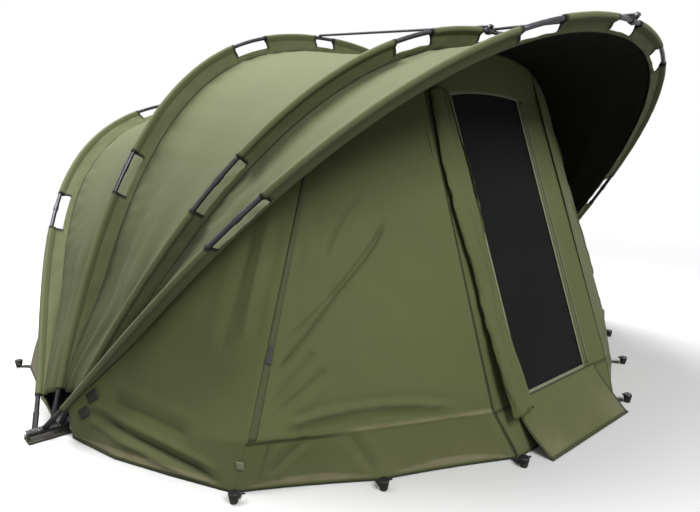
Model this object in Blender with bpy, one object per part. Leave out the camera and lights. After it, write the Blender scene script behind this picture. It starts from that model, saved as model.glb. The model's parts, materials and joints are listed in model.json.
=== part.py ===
# A two-person bivvy tent: four hubbed ribs under a taut canopy, a front infill with a
# mesh door, and two tension bars that lock the ribs apart.
# X runs across the tent, -Y is the front, Z is up, and the ground is at zero.
# The ribs turn on one axis along X through both hubs, at HUB_AXIS_Z above the ground.
import math
import bpy
import bmesh
from mathutils import Matrix, Vector

# Clearances
FIT = 0.0003
SEAM_GAP = 0.0006
UNDER_GAP = 0.0080
UNDER_GAP_RISE = 0.15

# Ribs: how far the feet stand apart, and how each arch is drawn
HUB_AXIS_Z = 0.030
OUTER_FOOT = 1.545
FOOT_PITCH = 0.030
RIB_1_HEIGHT = 1.760
RIB_1_RISE = 0.631
RIB_1_SHOULDER = 1.270
RIB_2_HEIGHT = 1.580
RIB_2_RISE = 1.310
RIB_2_SHOULDER = 0.665
RIB_3_HEIGHT = 1.672
RIB_3_RISE = 0.867
RIB_3_SHOULDER = 0.911
RIB_4_HEIGHT = 1.962
RIB_4_RISE = 0.522
RIB_4_SHOULDER = 1.143
RIB_LIFTS_DEG = (132.0, 97.6, 60.7, 46.5)
RIB_LEANS_DEG = (20.5, 16.3, 16.0, 22.0)
FOOT_SLOTS = (0, 2, 3, 1)

# Poles
POLE_R = 0.0085
SPIGOT_R = 0.0065
SPIGOT_LENGTH = 0.040
COLLAR_R = 0.0102
COLLAR_LENGTH = 0.035
POLE_SEAT = 0.030
POLE_SIDES = 8

# Sleeves: cloth tubes round the poles, each with a fin down to the canopy
SLEEVE_START = 0.140
SLEEVE_CLOTH = 0.0016
SLEEVE_FIT = 0.0004
FIN_DEPTHS = (0.075, 0.075, 0.075, 0.060)
FIN_START_DEPTH = 0.021
FIN_FULL_AT = 0.600
FIN_HALF = 0.0015
WINDOW_DEPTH = 0.046
WINDOW_OUT = 0.022
WINDOW_HALF_WIDTH = 0.018
WINDOW_A_LOW = (0.898, 0.853, 0.929, 0.997)
WINDOW_A_HIGH = (1.078, 1.005, 1.126, 1.204)
WINDOW_B_OUTER = (0.626, 0.541, 0.488, 0.495)
WINDOW_B_INNER = (0.452, 0.369, 0.337, 0.350)
WINDOW_C_HALF = (0.060, 0.056, 0.062, 0.075)

# Cloth panels
CLOTH = 0.0030
BAY_SAGS = (0.022, 0.020, 0.006)
BAY_COLUMNS = 4
HALF_STATIONS = 11
HEM_Z = 0.0030

# Front infill on the ground: hem corners and pegs, as half widths and distances forward
HEM_START_X = 1.440
HEM_START_Y = 0.085
WING_HEM_1_X = 1.384
WING_HEM_1_Y = 0.333
WING_HEM_2_X = 1.292
WING_HEM_2_Y = 0.559
CORNER_X = 1.192
CORNER_Y = 0.783
MID_PEG_X = 0.810
MID_PEG_Y = 1.030
DOOR_PEG_X = 0.355
DOOR_PEG_Y = 1.250

# Front infill above the skirt seam
SKIRT_SEAM_Z = 0.165
CORNER_SEAM_X = 1.152
CORNER_SEAM_Y = 0.805
ZIP_TOP_X = 0.723
ZIP_BAND_WIDTH = 0.070
MID_SEAM_BULGE = 0.012
DOOR_HALF_WIDTH = 0.405
DOOR_SEAM_Y = 1.175
DOOR_TOP_X = 0.400
MESH_HALF_WIDTH = 0.2200
MESH_TOP_Z = 1.251
MESH_TOP_Y = 0.794
MESH_LAP = 0.012
MESH_CLOTH = 0.0015
FLAP_TOP_HALF = 0.300
FLAP_FOOT_HALF = 0.288
FLAP_FOOT_Y = 1.340
FLAP_STANDOFF = 0.0007

# Zip flaps and sliders
ZIP_FLAP_SHARES = (0.06, 0.48)
ZIP_FLAP_CLOTH = 0.0025
ZIP_FLAP_GAP = 0.0009
SLIDER_LENGTH = 0.056
SLIDER_WIDTH = 0.020
SLIDER_RUNNER = 0.005
SLIDER_RUNNER_HEIGHT = 0.0030
SLIDER_THICK = 0.0070
SLIDER_GAP = 0.0008
SLIDER_Z = 0.431
SLIDER_OUTLINE_SHARES = (
    (0.0, -0.32), (0.0, 0.32), (0.28, 0.30), (0.42, 0.18), (0.80, 0.50),
    (1.0, 0.50), (1.0, -0.50), (0.80, -0.50), (0.42, -0.18), (0.28, -0.30),
)

# Rolled door cloth, hung at the left of the mesh
ROLL_X = 0.312
ROLL_HALF_WIDTH = 0.066
ROLL_HALF_DEPTH = 0.021
ROLL_TOP_Z = 1.244
ROLL_FOOT_Z = 0.135
ROLL_FOOT_FORWARD = 0.034
ROLL_STANDOFF = 0.0008
ROLL_RINGS = 9
ROLL_SIDES = 12
ROLL_TIE_SHARE = 0.72
ROLL_TIE_AT_SHARE = 0.62
ROLL_FOOT_SHARE = 0.92
ROLL_BEND_AT_SHARE = 0.72
ROLL_CREASE_SHARE = 0.10

# Rear panel on the ground: half widths and distances back
REAR_START_X = 1.452
REAR_START_Y = 0.090
REAR_SIDE_X = 1.440
REAR_SIDE_Y = 0.380
REAR_CORNER_X = 1.355
REAR_CORNER_Y = 0.826
REAR_PEG_X = 0.700
REAR_BOW = 0.046
REAR_ROWS = 6
REAR_SIDE_SHARE = 0.16
REAR_CORNER_SHARE = 0.34
REAR_PEG_SHARE = 0.66

# Hubs: long enough for the knuckles side by side between two cheeks
HUB_DEPTH = 0.070
HUB_PLATE = 0.008
CHEEK = 0.012
CHEEK_R = 0.013
PIN_R = 0.0050
PIN_HEAD_R = 0.0090
PIN_HEAD = 0.004
EYE_R = 0.014
KNUCKLE_WIDTH = 0.026
HUB_END_GAP = 0.002
HUB_LENGTH = FOOT_PITCH * (len(FOOT_SLOTS) - 1) + KNUCKLE_WIDTH + 2.0 * (CHEEK + HUB_END_GAP)
SOCKET_R = 0.0105
SOCKET_MOUTH = 0.074
SOCKET_ROOT = 0.006

# Tension bars
BAR_R = 0.006
BAR_OFFSET = 0.022
BAR_EYE_R = 0.007
BAR_PIN_R = 0.003
BAR_PIN_HEAD_R = 0.005
BAR_PIN_HEAD = 0.002
BAR_CLEARANCE = 0.0010
BRACKET_R = 0.0125
EAR_R = 0.0065
EAR = 0.004
EAR_ROOT = 0.0096
HOOK_GAP = 0.0005
HOOK_WRAP_DEG = 100.0

# Pegs: heads above the ground, with the webbing tabs that they hold
PEG_REACH = 0.050
PEG_FOOT_R = 0.0115
PEG_TOP_R = 0.0180
PEG_HEIGHT = 0.036
PEG_RIM = 0.005
PEG_ARM_R = 0.003
PEG_ARM_OUT = 0.026
PEG_ARM_BACK = 0.022
PEG_ARM_DROP = 0.012
CORNER_PEG_TURN_DEG = 48.7
MID_PEG_TURN_DEG = 26.8
DOOR_PEG_TURN_DEG = 20.4
TAB_HALF_WIDTH = 0.012
TAB_CLOTH = 0.0028
TAB_LIFT = 0.0006
TAB_LAP = 0.016

# Cutters run past what they cut
OVERRUN = 0.004

# Folds pressed into the cloth: each runs from one point to another, with its height and width
FOLD_HEIGHT = 0.009
FOLD_WIDTH = 0.045
SKIRT_ROLL_HEIGHT = 0.012
SKIRT_ROLL_WIDTH = 0.040
DART_DEPTH = 0.010
DART_WIDTH = 0.035
REAR_FOLD_HEIGHT = 0.014
STEEP_FOLD_ENDS = ((0.03, 0.08), (0.60, 0.57))
SLANT_FOLD_ENDS = ((0.12, 0.45), (0.56, 0.72))
SKIRT_ROLL_SHARE = 0.10
DART_START_SHARE = 0.85
DART_END_SHARE = 0.125


# Objects

for old in list(bpy.data.objects):
    bpy.data.objects.remove(old, do_unlink=True)


def material(name, colour, roughness, metallic=0.0):
    made = bpy.data.materials.new(name)
    made.use_nodes = True
    shader = made.node_tree.nodes["Principled BSDF"]
    shader.inputs["Base Color"].default_value = (*colour, 1.0)
    shader.inputs["Roughness"].default_value = roughness
    shader.inputs["Metallic"].default_value = metallic
    made.diffuse_color = (*colour, 1.0)
    return made


CANOPY_CLOTH = material("canopy_cloth", (0.180, 0.205, 0.090), 0.80)
INFILL_CLOTH = material("infill_cloth", (0.125, 0.145, 0.062), 0.82)
MESH_NET = material("mesh_net", (0.012, 0.013, 0.012), 0.70)
POLE_METAL = material("pole_metal", (0.050, 0.050, 0.055), 0.38, 0.60)
BLACK_PLASTIC = material("black_plastic", (0.015, 0.015, 0.016), 0.50)
PIN_STEEL = material("pin_steel", (0.45, 0.45, 0.46), 0.30, 1.0)
ZIP_TAPE = material("zip_tape", (0.035, 0.040, 0.022), 0.75)


def empty(name, matrix, parent=None):
    made = bpy.data.objects.new(name, None)
    made.empty_display_size = EYE_R
    bpy.context.scene.collection.objects.link(made)
    made.parent = parent
    if parent is None:
        made.matrix_local = matrix
    else:
        made.matrix_local = PLACES[parent.name].inverted() @ matrix
    PLACES[name] = matrix
    return made


PLACES = {}


def add(name, shape, surface, parent, smooth=False):
    """Turns a bmesh drawn in world coordinates into a named object under its parent empty."""
    bmesh.ops.recalc_face_normals(shape, faces=shape.faces)
    shape.transform(PLACES[parent.name].inverted())
    mesh = bpy.data.meshes.new(name)
    shape.to_mesh(mesh)
    shape.free()
    made = bpy.data.objects.new(name, mesh)
    made.parent = parent
    if surface is not None:
        mesh.materials.append(surface)
    if smooth:
        mesh.shade_smooth()
        mesh.set_sharp_from_angle(angle=math.radians(40.0))
    bpy.context.scene.collection.objects.link(made)
    return made


def combine(target, operation, name, shape, parent):
    """Joins a hidden guide shape to a piece, or cuts it out."""
    guide = add(name, shape, None, parent)
    guide.hide_render = True
    guide.display_type = "WIRE"
    step = target.modifiers.new(name, "BOOLEAN")
    step.operation = operation
    step.object = guide
    return guide


def loops_to_solid(loops, closed_ring=False):
    """Skins equal loops of points one after another and caps the first and the last."""
    shape = bmesh.new()
    rings = [[shape.verts.new(point) for point in loop] for loop in loops]
    pairs = list(zip(rings, rings[1:]))
    if closed_ring:
        pairs.append((rings[-1], rings[0]))
    for first, second in pairs:
        for k in range(len(first)):
            following = (k + 1) % len(first)
            shape.faces.new((first[k], first[following], second[following], second[k]))
    if not closed_ring:
        shape.faces.new(rings[0])
        shape.faces.new(rings[-1])
    return shape


def box(centre, along, across, up, sizes):
    """A box about a centre, with its three unit directions and full sizes."""
    loops = []
    for end in (-0.5, 0.5):
        loop = []
        for side, height in ((-0.5, -0.5), (0.5, -0.5), (0.5, 0.5), (-0.5, 0.5)):
            loop.append(centre + along * end * sizes[0] + across * side * sizes[1] + up * height * sizes[2])
        loops.append(loop)
    return loops_to_solid(loops)


def cylinder(start, end, radius, sides=16):
    """A round bar between two points."""
    return lathe(start, end - start, ((0.0, radius), (1.0, radius)), sides)


def lathe(start, axis, profile, sides=16):
    """Turns a profile of (share of the axis, radius) pairs about an axis."""
    along = axis.normalized()
    side = along.orthogonal().normalized()
    other = along.cross(side)
    loops = []
    for share, radius in profile:
        centre = start + axis * share
        loops.append([
            centre + (side * math.cos(turn) + other * math.sin(turn)) * radius
            for turn in turns(sides)
        ])
    return loops_to_solid(loops)


def turns(count):
    """Angles of a ring's corners, half a step off zero so that a flat faces each side."""
    return [math.tau * (k + 0.5) / count for k in range(count)]


def merge(*shapes):
    """Puts separate closed shapes into one bmesh."""
    whole = bmesh.new()
    for shape in shapes:
        mesh = bpy.data.meshes.new("shape")
        shape.to_mesh(mesh)
        shape.free()
        whole.from_mesh(mesh)
        bpy.data.meshes.remove(mesh)
    return whole


# Rib arches

def bezier(points, t):
    """A point on a cubic curve through the plane of a rib."""
    a, b, c, d = points
    s = 1.0 - t
    return a * s ** 3 + b * 3.0 * s * s * t + c * 3.0 * s * t * t + d * t ** 3


class Rib:
    """An arch of a rib: a chain of straight stations in one plane through the hub axis."""

    def __init__(self, index, height, rise, shoulder):
        self.index = index
        self.name = "rib_%d" % (index + 1)
        self.foot = OUTER_FOOT - FOOT_PITCH * FOOT_SLOTS[index]
        self.height = height
        self.lift = math.radians(RIB_LIFTS_DEG[index])
        lean = math.radians(RIB_LEANS_DEG[index])
        self.controls = (
            Vector((self.foot, 0.0)),
            Vector((self.foot - rise * math.sin(lean), rise * math.cos(lean))),
            Vector((shoulder, height)),
            Vector((0.0, height)),
        )
        self.out = Vector((0.0, -math.cos(self.lift), math.sin(self.lift)))
        self.back = Vector((0.0, math.sin(self.lift), math.cos(self.lift)))
        self.flat = self.stations()
        self.lengths = [0.0]
        for first, second in zip(self.flat, self.flat[1:]):
            self.lengths.append(self.lengths[-1] + (second - first).length)
        self.span = self.lengths[-1]
        self.normals = self.station_normals()
        self.depths = [self.station_depth(length) for length in self.lengths]

    def stations(self):
        """Stations from the left foot to the right one, closer together where the arch bends."""
        samples = 400
        fine = [bezier(self.controls, k / samples) for k in range(samples + 1)]
        run = [0.0]
        bend = [0.0]
        for k in range(1, samples + 1):
            step = fine[k] - fine[k - 1]
            run.append(run[-1] + step.length)
            turned = 0.0
            if k > 1:
                turned = abs(step.angle_signed(fine[k - 1] - fine[k - 2]))
            bend.append(bend[-1] + turned)
        measure = [a / run[-1] + b / bend[-1] for a, b in zip(run, bend)]
        first = next(k for k, value in enumerate(run) if value >= SLEEVE_START)
        half = [lerp_at(fine, run, POLE_SEAT), lerp_at(fine, run, SLEEVE_START)]
        for k in range(1, HALF_STATIONS + 1):
            wanted = measure[first] + (measure[-1] - measure[first]) * k / HALF_STATIONS
            half.append(lerp_at(fine, measure, wanted))
        left = [Vector((-point.x, point.y)) for point in half]
        return left + half[-2::-1]

    def station_normals(self):
        """Outward normals in the rib's plane, mitred at each station."""
        sides = []
        for first, second in zip(self.flat, self.flat[1:]):
            step = (second - first).normalized()
            sides.append(Vector((-step.y, step.x)))
        normals = [sides[0]]
        for before, after in zip(sides, sides[1:]):
            normals.append((before + after).normalized())
        return normals + [sides[-1]]

    def world(self, flat):
        return Vector((flat.x, 0.0, HUB_AXIS_Z)) + self.out * flat.y

    def turn_out(self, flat):
        return Vector((flat.x, 0.0, 0.0)) + self.out * flat.y

    def centre(self, length):
        return self.world(lerp_at(self.flat, self.lengths, length))

    def normal(self, length):
        return self.turn_out(lerp_at(self.normals, self.lengths, length))

    def between(self, start, end):
        """Lengths of a stretch's ends and of every station inside it."""
        inside = [value for value in self.lengths if start + SEAM_GAP < value < end - SEAM_GAP]
        return [start] + inside + [end]

    def length_at_radius(self, radius):
        """Length along the left leg where the arch is this far from the hub axis."""
        crown = len(self.flat) // 2
        radii = [point.y for point in self.flat[:crown + 1]]
        return interpolate(radii, self.lengths[:crown + 1], radius)

    def length_at_side(self, side):
        """Length along the left half where the arch is this far from the middle."""
        crown = len(self.flat) // 2
        sides = [point.x for point in self.flat[:crown + 1]]
        return interpolate(sides, self.lengths[:crown + 1], -side)

    def station_depth(self, length):
        """The fin is shallow at the hub, where the ribs fold past each other."""
        near = min(length, self.span - length) + POLE_SEAT
        share = min(max((near - SLEEVE_START) / (FIN_FULL_AT - SLEEVE_START), 0.0), 1.0)
        eased = share * share * (3.0 - 2.0 * share)
        return FIN_START_DEPTH + (FIN_DEPTHS[self.index] - FIN_START_DEPTH) * eased

    def fin_depth(self, length):
        return interpolate(self.lengths, self.depths, length)

    def ring(self, length, radius):
        centre = self.centre(length)
        normal = self.normal(length)
        return [
            centre + (normal * math.cos(turn) + self.back * math.sin(turn)) * radius
            for turn in turns(POLE_SIDES)
        ]

    def edge(self, length, side, below=0.0):
        """A canopy edge point beside the fin: side is -1 in front of it, 1 behind, 0 under it."""
        depth = self.fin_depth(length) - CLOTH
        if side == 0:
            return self.centre(length) - self.normal(length) * (self.fin_depth(length) + below)
        clear = FIN_HALF + FIT
        return self.centre(length) - self.normal(length) * depth + self.back * side * clear


def interpolate(keys, values, wanted):
    """Reads a value off two rising lists."""
    for k in range(1, len(keys)):
        if keys[k] >= wanted:
            share = (wanted - keys[k - 1]) / (keys[k] - keys[k - 1])
            return values[k - 1] + (values[k] - values[k - 1]) * share
    return values[-1]


def lerp_at(points, keys, wanted):
    """Reads a point off a list whose keys rise."""
    if wanted <= keys[0]:
        return points[0].copy()
    for k in range(1, len(keys)):
        if keys[k] >= wanted:
            share = (wanted - keys[k - 1]) / (keys[k] - keys[k - 1])
            return points[k - 1].lerp(points[k], share)
    return points[-1].copy()


RIBS = [
    Rib(0, RIB_1_HEIGHT, RIB_1_RISE, RIB_1_SHOULDER),
    Rib(1, RIB_2_HEIGHT, RIB_2_RISE, RIB_2_SHOULDER),
    Rib(2, RIB_3_HEIGHT, RIB_3_RISE, RIB_3_SHOULDER),
    Rib(3, RIB_4_HEIGHT, RIB_4_RISE, RIB_4_SHOULDER),
]
REAR_RIB, SECOND_RIB, THIRD_RIB, PEAK_RIB = RIBS

HUB_AXIS = Matrix.Translation((0.0, 0.0, HUB_AXIS_Z))
base = empty("base", HUB_AXIS)
rib_empties = []
for rib in RIBS:
    turned = HUB_AXIS @ Matrix.Rotation(math.pi / 2.0 - rib.lift, 4, "X")
    rib_empties.append(empty(rib.name, turned, rib_empties[-1] if rib_empties else base))
peak_empty = rib_empties[3]


# Poles: a leg at each side plugs into the crown inside the lowest pair of windows

def pole_joint(rib):
    """Length where the left leg meets the crown."""
    low = rib.length_at_radius(WINDOW_A_LOW[rib.index])
    high = rib.length_at_radius(WINDOW_A_HIGH[rib.index])
    return (low + high) / 2.0


def mirror_lengths(rib, pairs):
    return [(rib.span - length, radius) for length, radius in pairs]


def make_poles(rib, parent):
    joint = pole_joint(rib)
    leg = [(length, POLE_R) for length in rib.between(0.0, joint)]
    leg += [(length, SPIGOT_R) for length in rib.between(joint, joint + SPIGOT_LENGTH)]
    for side, stretch in (("left", leg), ("right", mirror_lengths(rib, leg))):
        loops = [rib.ring(length, radius) for length, radius in stretch]
        add("%s_leg_%s" % (rib.name, side), loops_to_solid(loops), POLE_METAL, parent, True)
    mouth = joint + FIT
    bore = rib.between(mouth, joint + SPIGOT_LENGTH + FIT)
    collar = rib.between(mouth, mouth + COLLAR_LENGTH)
    end = [(length, SPIGOT_R + FIT) for length in reversed(bore)]
    end += [(length, COLLAR_R) for length in collar]
    middle = rib.between(mouth + COLLAR_LENGTH, rib.span - mouth - COLLAR_LENGTH)
    stretch = end + [(length, POLE_R) for length in middle] + mirror_lengths(rib, reversed(end))
    loops = [rib.ring(length, radius) for length, radius in stretch]
    add(rib.name + "_crown", loops_to_solid(loops), POLE_METAL, parent, True)


# Sleeves

def sleeve_sections(rib, lengths):
    """Loops of the sleeve: outside with the fin, and the bore round the pole."""
    bore_r = POLE_R + SLEEVE_FIT
    outer_r = bore_r + SLEEVE_CLOTH
    bottom = POLE_SIDES // 2
    outside = []
    inside = []
    for length in lengths:
        outer = rib.ring(length, outer_r)
        inner = rib.ring(length, bore_r)
        outer = outer[bottom:] + outer[:bottom]
        inner = inner[bottom:] + inner[:bottom]
        root = rib.centre(length) - rib.normal(length) * outer_r * math.cos(math.pi / POLE_SIDES)
        tip = rib.centre(length) - rib.normal(length) * rib.fin_depth(length)
        half = rib.back * FIN_HALF
        outside.append(outer + [root + half, tip + half, tip - half, root - half])
        inside.append(inner)
    return outside, inside


def make_sleeve(rib, parent):
    start = rib.lengths[1]
    lengths = rib.between(start, rib.span - start)
    outside, inside = sleeve_sections(rib, lengths)
    shape = bmesh.new()
    outer = [[shape.verts.new(point) for point in loop] for loop in outside]
    inner = [[shape.verts.new(point) for point in loop] for loop in inside]
    for rings in (outer, inner):
        for first, second in zip(rings, rings[1:]):
            for k in range(len(first)):
                following = (k + 1) % len(first)
                shape.faces.new((first[k], first[following], second[following], second[k]))
    for outer_ring, inner_ring in ((outer[0], inner[0]), (outer[-1], inner[-1])):
        last = POLE_SIDES - 1
        for k in range(last):
            shape.faces.new((outer_ring[k], outer_ring[k + 1], inner_ring[k + 1], inner_ring[k]))
        root, tip, other_tip, other_root = outer_ring[last + 1:]
        shape.faces.new((outer_ring[last], root, other_root, outer_ring[0], inner_ring[0], inner_ring[last]))
        shape.faces.new((root, tip, other_tip, other_root))
    sleeve = add(rib.name + "_sleeve", shape, CANOPY_CLOTH, parent)
    windows = [window(rib, start, end) for start, end in window_stretches(rib)]
    combine(sleeve, "DIFFERENCE", rib.name + "_windows", merge(*windows), parent)


def window_stretches(rib):
    """Five stretches where the pole lies bare: two pairs and one at the top."""
    k = rib.index
    pairs = [
        (rib.length_at_radius(WINDOW_A_LOW[k]), rib.length_at_radius(WINDOW_A_HIGH[k])),
        (rib.length_at_side(WINDOW_B_OUTER[k]), rib.length_at_side(WINDOW_B_INNER[k])),
    ]
    middle = rib.length_at_side(WINDOW_C_HALF[k])
    stretches = [(middle, rib.span - middle)]
    for start, end in pairs:
        stretches.append((start, end))
        stretches.append((rib.span - end, rib.span - start))
    return stretches


def window(rib, start, end):
    loops = []
    for length in rib.between(start, end):
        centre = rib.centre(length)
        normal = rib.normal(length)
        side = rib.back * WINDOW_HALF_WIDTH
        top = centre + normal * WINDOW_OUT
        foot = centre - normal * WINDOW_DEPTH
        loops.append([top - side, top + side, foot + side, foot - side])
    return loops_to_solid(loops)


def pivot_lift(rib, next_rib):
    """How far a tension bar's pivot stands over its rib, so that the bar passes clear of the bracket."""
    along = next_rib.world(Vector((0.0, next_rib.height))) - rib.world(Vector((0.0, rib.height)))
    return (BRACKET_R + BAR_R + BAR_CLEARANCE) / math.sin(rib.out.angle(along))


# Cloth sheets

def sheet(rows, inward, thickness):
    """A closed sheet from a grid of outer points, thickened along the given directions."""
    shape = bmesh.new()
    outer = [[shape.verts.new(point) for point in row] for row in rows]
    inner = [
        [shape.verts.new(point + way * thickness) for point, way in zip(row, ways)]
        for row, ways in zip(rows, inward)
    ]
    add_sheet_faces(shape, outer, inner, lambda row, column: True)
    return shape


def add_sheet_faces(shape, outer, inner, kept):
    """Both faces of a sheet and a wall along every open edge; kept says which cells there are."""
    row_count = len(outer) - 1
    column_count = len(outer[0]) - 1

    def present(row, column):
        return 0 <= row < row_count and 0 <= column < column_count and kept(row, column)

    for row in range(row_count):
        for column in range(column_count):
            if not present(row, column):
                continue
            corners = ((row, column), (row, column + 1), (row + 1, column + 1), (row + 1, column))
            for side in (outer, inner):
                shape.faces.new([side[r][c] for r, c in corners])
            neighbours = ((row - 1, column), (row, column + 1), (row + 1, column), (row, column - 1))
            for k, neighbour in enumerate(neighbours):
                if present(*neighbour):
                    continue
                r0, c0 = corners[k]
                r1, c1 = corners[(k + 1) % 4]
                shape.faces.new((outer[r0][c0], outer[r1][c1], inner[r1][c1], inner[r0][c0]))
    loose = [vert for vert in shape.verts if not vert.link_faces]
    bmesh.ops.delete(shape, geom=loose, context="VERTS")


def make_bay(number, back_rib, front_rib, parent):
    """Canopy between two ribs, drawn in a little between them."""
    sag = BAY_SAGS[number - 1]
    rows = []
    inward = []
    for column in range(BAY_COLUMNS + 1):
        share = column / BAY_COLUMNS
        row = []
        ways = []
        for k in range(1, len(back_rib.lengths) - 1):
            row.append(canopy_point(back_rib, front_rib, k, share, sag))
            ways.append(-canopy_normal(back_rib, front_rib, k, share))
        rows.append(row)
        inward.append(ways)
    add("canopy_bay_%d" % number, sheet(rows, inward, CLOTH), CANOPY_CLOTH, parent)


def canopy_normal(back_rib, front_rib, k, share):
    first = back_rib.normal(back_rib.lengths[k])
    second = front_rib.normal(front_rib.lengths[k])
    return first.lerp(second, share).normalized()


def canopy_point(back_rib, front_rib, k, share, sag):
    """Outer canopy point at station k, from the back rib at share 0 to the front one at 1."""
    first = back_rib.edge(back_rib.lengths[k], -1)
    second = front_rib.edge(front_rib.lengths[k], 1)
    crown = (len(back_rib.lengths) - 1) / 2.0
    towards_crown = math.sin(math.pi / 2.0 * (1.0 - abs(k - crown) / crown))
    drawn = 4.0 * share * (1.0 - share) * sag * towards_crown
    return first.lerp(second, share) - canopy_normal(back_rib, front_rib, k, share) * drawn


def grid_normals(rows):
    """Unit normals of a grid of points, by central differences."""
    normals = []
    last_row = len(rows) - 1
    for r, row in enumerate(rows):
        last = len(row) - 1
        line = []
        for c in range(len(row)):
            across = row[min(c + 1, last)] - row[max(c - 1, 0)]
            up = rows[min(r + 1, last_row)][c] - rows[max(r - 1, 0)][c]
            line.append(across.cross(up).normalized())
        normals.append(line)
    return normals


# Rear panel

def rear_reach():
    """The rear pegs stand as far behind the hub axis as the front bracket reaches before it."""
    front = BAR_EYE_R - PEAK_RIB.out.y * (PEAK_RIB.height + pivot_lift(PEAK_RIB, THIRD_RIB))
    return front + REAR_BOW - (PEG_REACH + PEG_TOP_R)


def rear_hem():
    """Left half of the rear hem on the ground, from the hub to the middle."""
    reach = rear_reach()
    return [
        Vector((-REAR_START_X, REAR_START_Y, HEM_Z)),
        Vector((-REAR_SIDE_X, REAR_SIDE_Y, HEM_Z)),
        Vector((-REAR_CORNER_X, REAR_CORNER_Y, HEM_Z)),
        Vector((-REAR_PEG_X, reach - REAR_BOW, HEM_Z)),
        Vector((0.0, reach, HEM_Z)),
    ]


def mirrored(point):
    return Vector((-point.x, point.y, point.z))


def make_rear_panel(parent):
    hem = rear_hem()
    stations = range(1, len(REAR_RIB.lengths) - 1)
    crown = (len(REAR_RIB.lengths) - 1) // 2
    side_station = 1 + round((crown - 1) * REAR_SIDE_SHARE)
    corner_station = 1 + round((crown - 1) * REAR_CORNER_SHARE)
    peg_station = 1 + round((crown - 1) * REAR_PEG_SHARE)
    keys = [1, side_station, corner_station, peg_station, crown]
    hem_row = []
    for k in stations:
        near = min(k, 2 * crown - k)
        point = lerp_at(hem, keys, near)
        hem_row.append(point if k <= crown else mirrored(point))
    top_row = [REAR_RIB.edge(REAR_RIB.lengths[k], 1) for k in stations]
    rows = []
    for r in range(REAR_ROWS + 1):
        share = r / REAR_ROWS
        rows.append([low.lerp(high, share) for low, high in zip(hem_row, top_row)])
    normals = grid_normals(rows)
    for r in range(1, REAR_ROWS):
        swell = math.sin(math.pi * r / REAR_ROWS)
        for c, k in enumerate(stations):
            fold = math.cos(math.pi * (k - crown)) * REAR_FOLD_HEIGHT * swell / 2.0
            if 0 < c < len(rows[r]) - 1:
                rows[r][c] = rows[r][c] - normals[r][c] * fold
    inward = [list(line) for line in normals]
    for c, k in enumerate(stations):
        inward[-1][c] = -REAR_RIB.normal(REAR_RIB.lengths[k])
    panel = add("rear_panel", sheet(rows, inward, CLOTH), CANOPY_CLOTH, parent)
    tabs = [peg_tab(spot, way) for spot, way in rear_pegs()]
    combine(panel, "UNION", "rear_tabs", merge(*tabs), parent)


def rear_pegs():
    """Hem points with pegs at the rear, each with its way out."""
    hem = rear_hem()
    corner_way = Vector((-1.0, 1.0, 0.0)).normalized()
    mid_way = Vector((-REAR_BOW, REAR_PEG_X, 0.0)).normalized()
    left = [(hem[2], corner_way), (hem[3], mid_way)]
    return left + [(mirrored(spot), mirrored(way)) for spot, way in left]


# Pegs and the webbing tabs that they hold

def peg_tab(spot, way):
    """A webbing tab from inside the hem out to the peg's head."""
    across = Vector((-way.y, way.x, 0.0))
    top_share = (HEM_Z + TAB_LIFT + TAB_CLOTH) / (PEG_HEIGHT - PEG_RIM)
    head_r = PEG_FOOT_R + (PEG_TOP_R - PEG_FOOT_R) * top_share
    end = PEG_REACH - head_r - FIT
    centre = Vector((spot.x, spot.y, HEM_Z + TAB_LIFT + TAB_CLOTH / 2.0)) + way * (end - TAB_LAP) / 2.0
    return box(centre, way, across, Vector((0.0, 0.0, 1.0)), (end + TAB_LAP, TAB_HALF_WIDTH * 2.0, TAB_CLOTH))


def make_peg(name, spot, way):
    """A peg's head standing on the ground, with the hook that keeps the webbing on it."""
    foot = Vector((spot.x, spot.y, 0.0)) + way * PEG_REACH
    up = Vector((0.0, 0.0, PEG_HEIGHT))
    rim = 1.0 - PEG_RIM / PEG_HEIGHT
    head = lathe(foot, up, ((0.0, PEG_FOOT_R), (rim, PEG_TOP_R), (1.0, PEG_TOP_R - PEG_RIM / 2.0)), 10)
    peg = add(name, head, BLACK_PLASTIC, base, True)
    across = Vector((-way.y, way.x, 0.0))
    top = foot + up - Vector((0.0, 0.0, PEG_RIM))
    route = [
        top,
        top + across * PEG_ARM_OUT,
        top + across * PEG_ARM_OUT - way * PEG_ARM_BACK - Vector((0.0, 0.0, PEG_ARM_DROP)),
    ]
    combine(peg, "UNION", name + "_arm", rod(route, PEG_ARM_R, 6), base)


def rod(route, radius, sides):
    """A round rod along a chain of points that bend less than square."""
    loops = []
    for k, point in enumerate(route):
        before = (point - route[max(k - 1, 0)]).normalized()
        after = (route[min(k + 1, len(route) - 1)] - point).normalized()
        along = (before + after).normalized()
        if k == 0:
            side = along.orthogonal().normalized()
        side = (side - along * side.dot(along)).normalized()
        other = along.cross(side)
        loops.append([
            point + (side * math.cos(turn) + other * math.sin(turn)) * radius
            for turn in turns(sides)
        ])
    return loops_to_solid(loops)


# Front infill: one surface from hub to hub, cut into panels along its seams

PANEL_COLUMNS = 12
SKIRT_ROWS = 2
PANEL_ROWS = 9
DOOR_SHARES = (0.0, 0.24, 0.457, 0.7285, 1.0)
TOP_ROW_SHARE = 0.909
MID_PEG_SHARE = 0.47


def ground(x, forward):
    return Vector((-x, -forward, HEM_Z))


def door_plane(x, z):
    """A point of the leaning door."""
    share = (z - SKIRT_SEAM_Z) / (MESH_TOP_Z - SKIRT_SEAM_Z)
    forward = DOOR_SEAM_Y + (MESH_TOP_Y - DOOR_SEAM_Y) * share
    return Vector((x, -forward, z))


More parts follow.
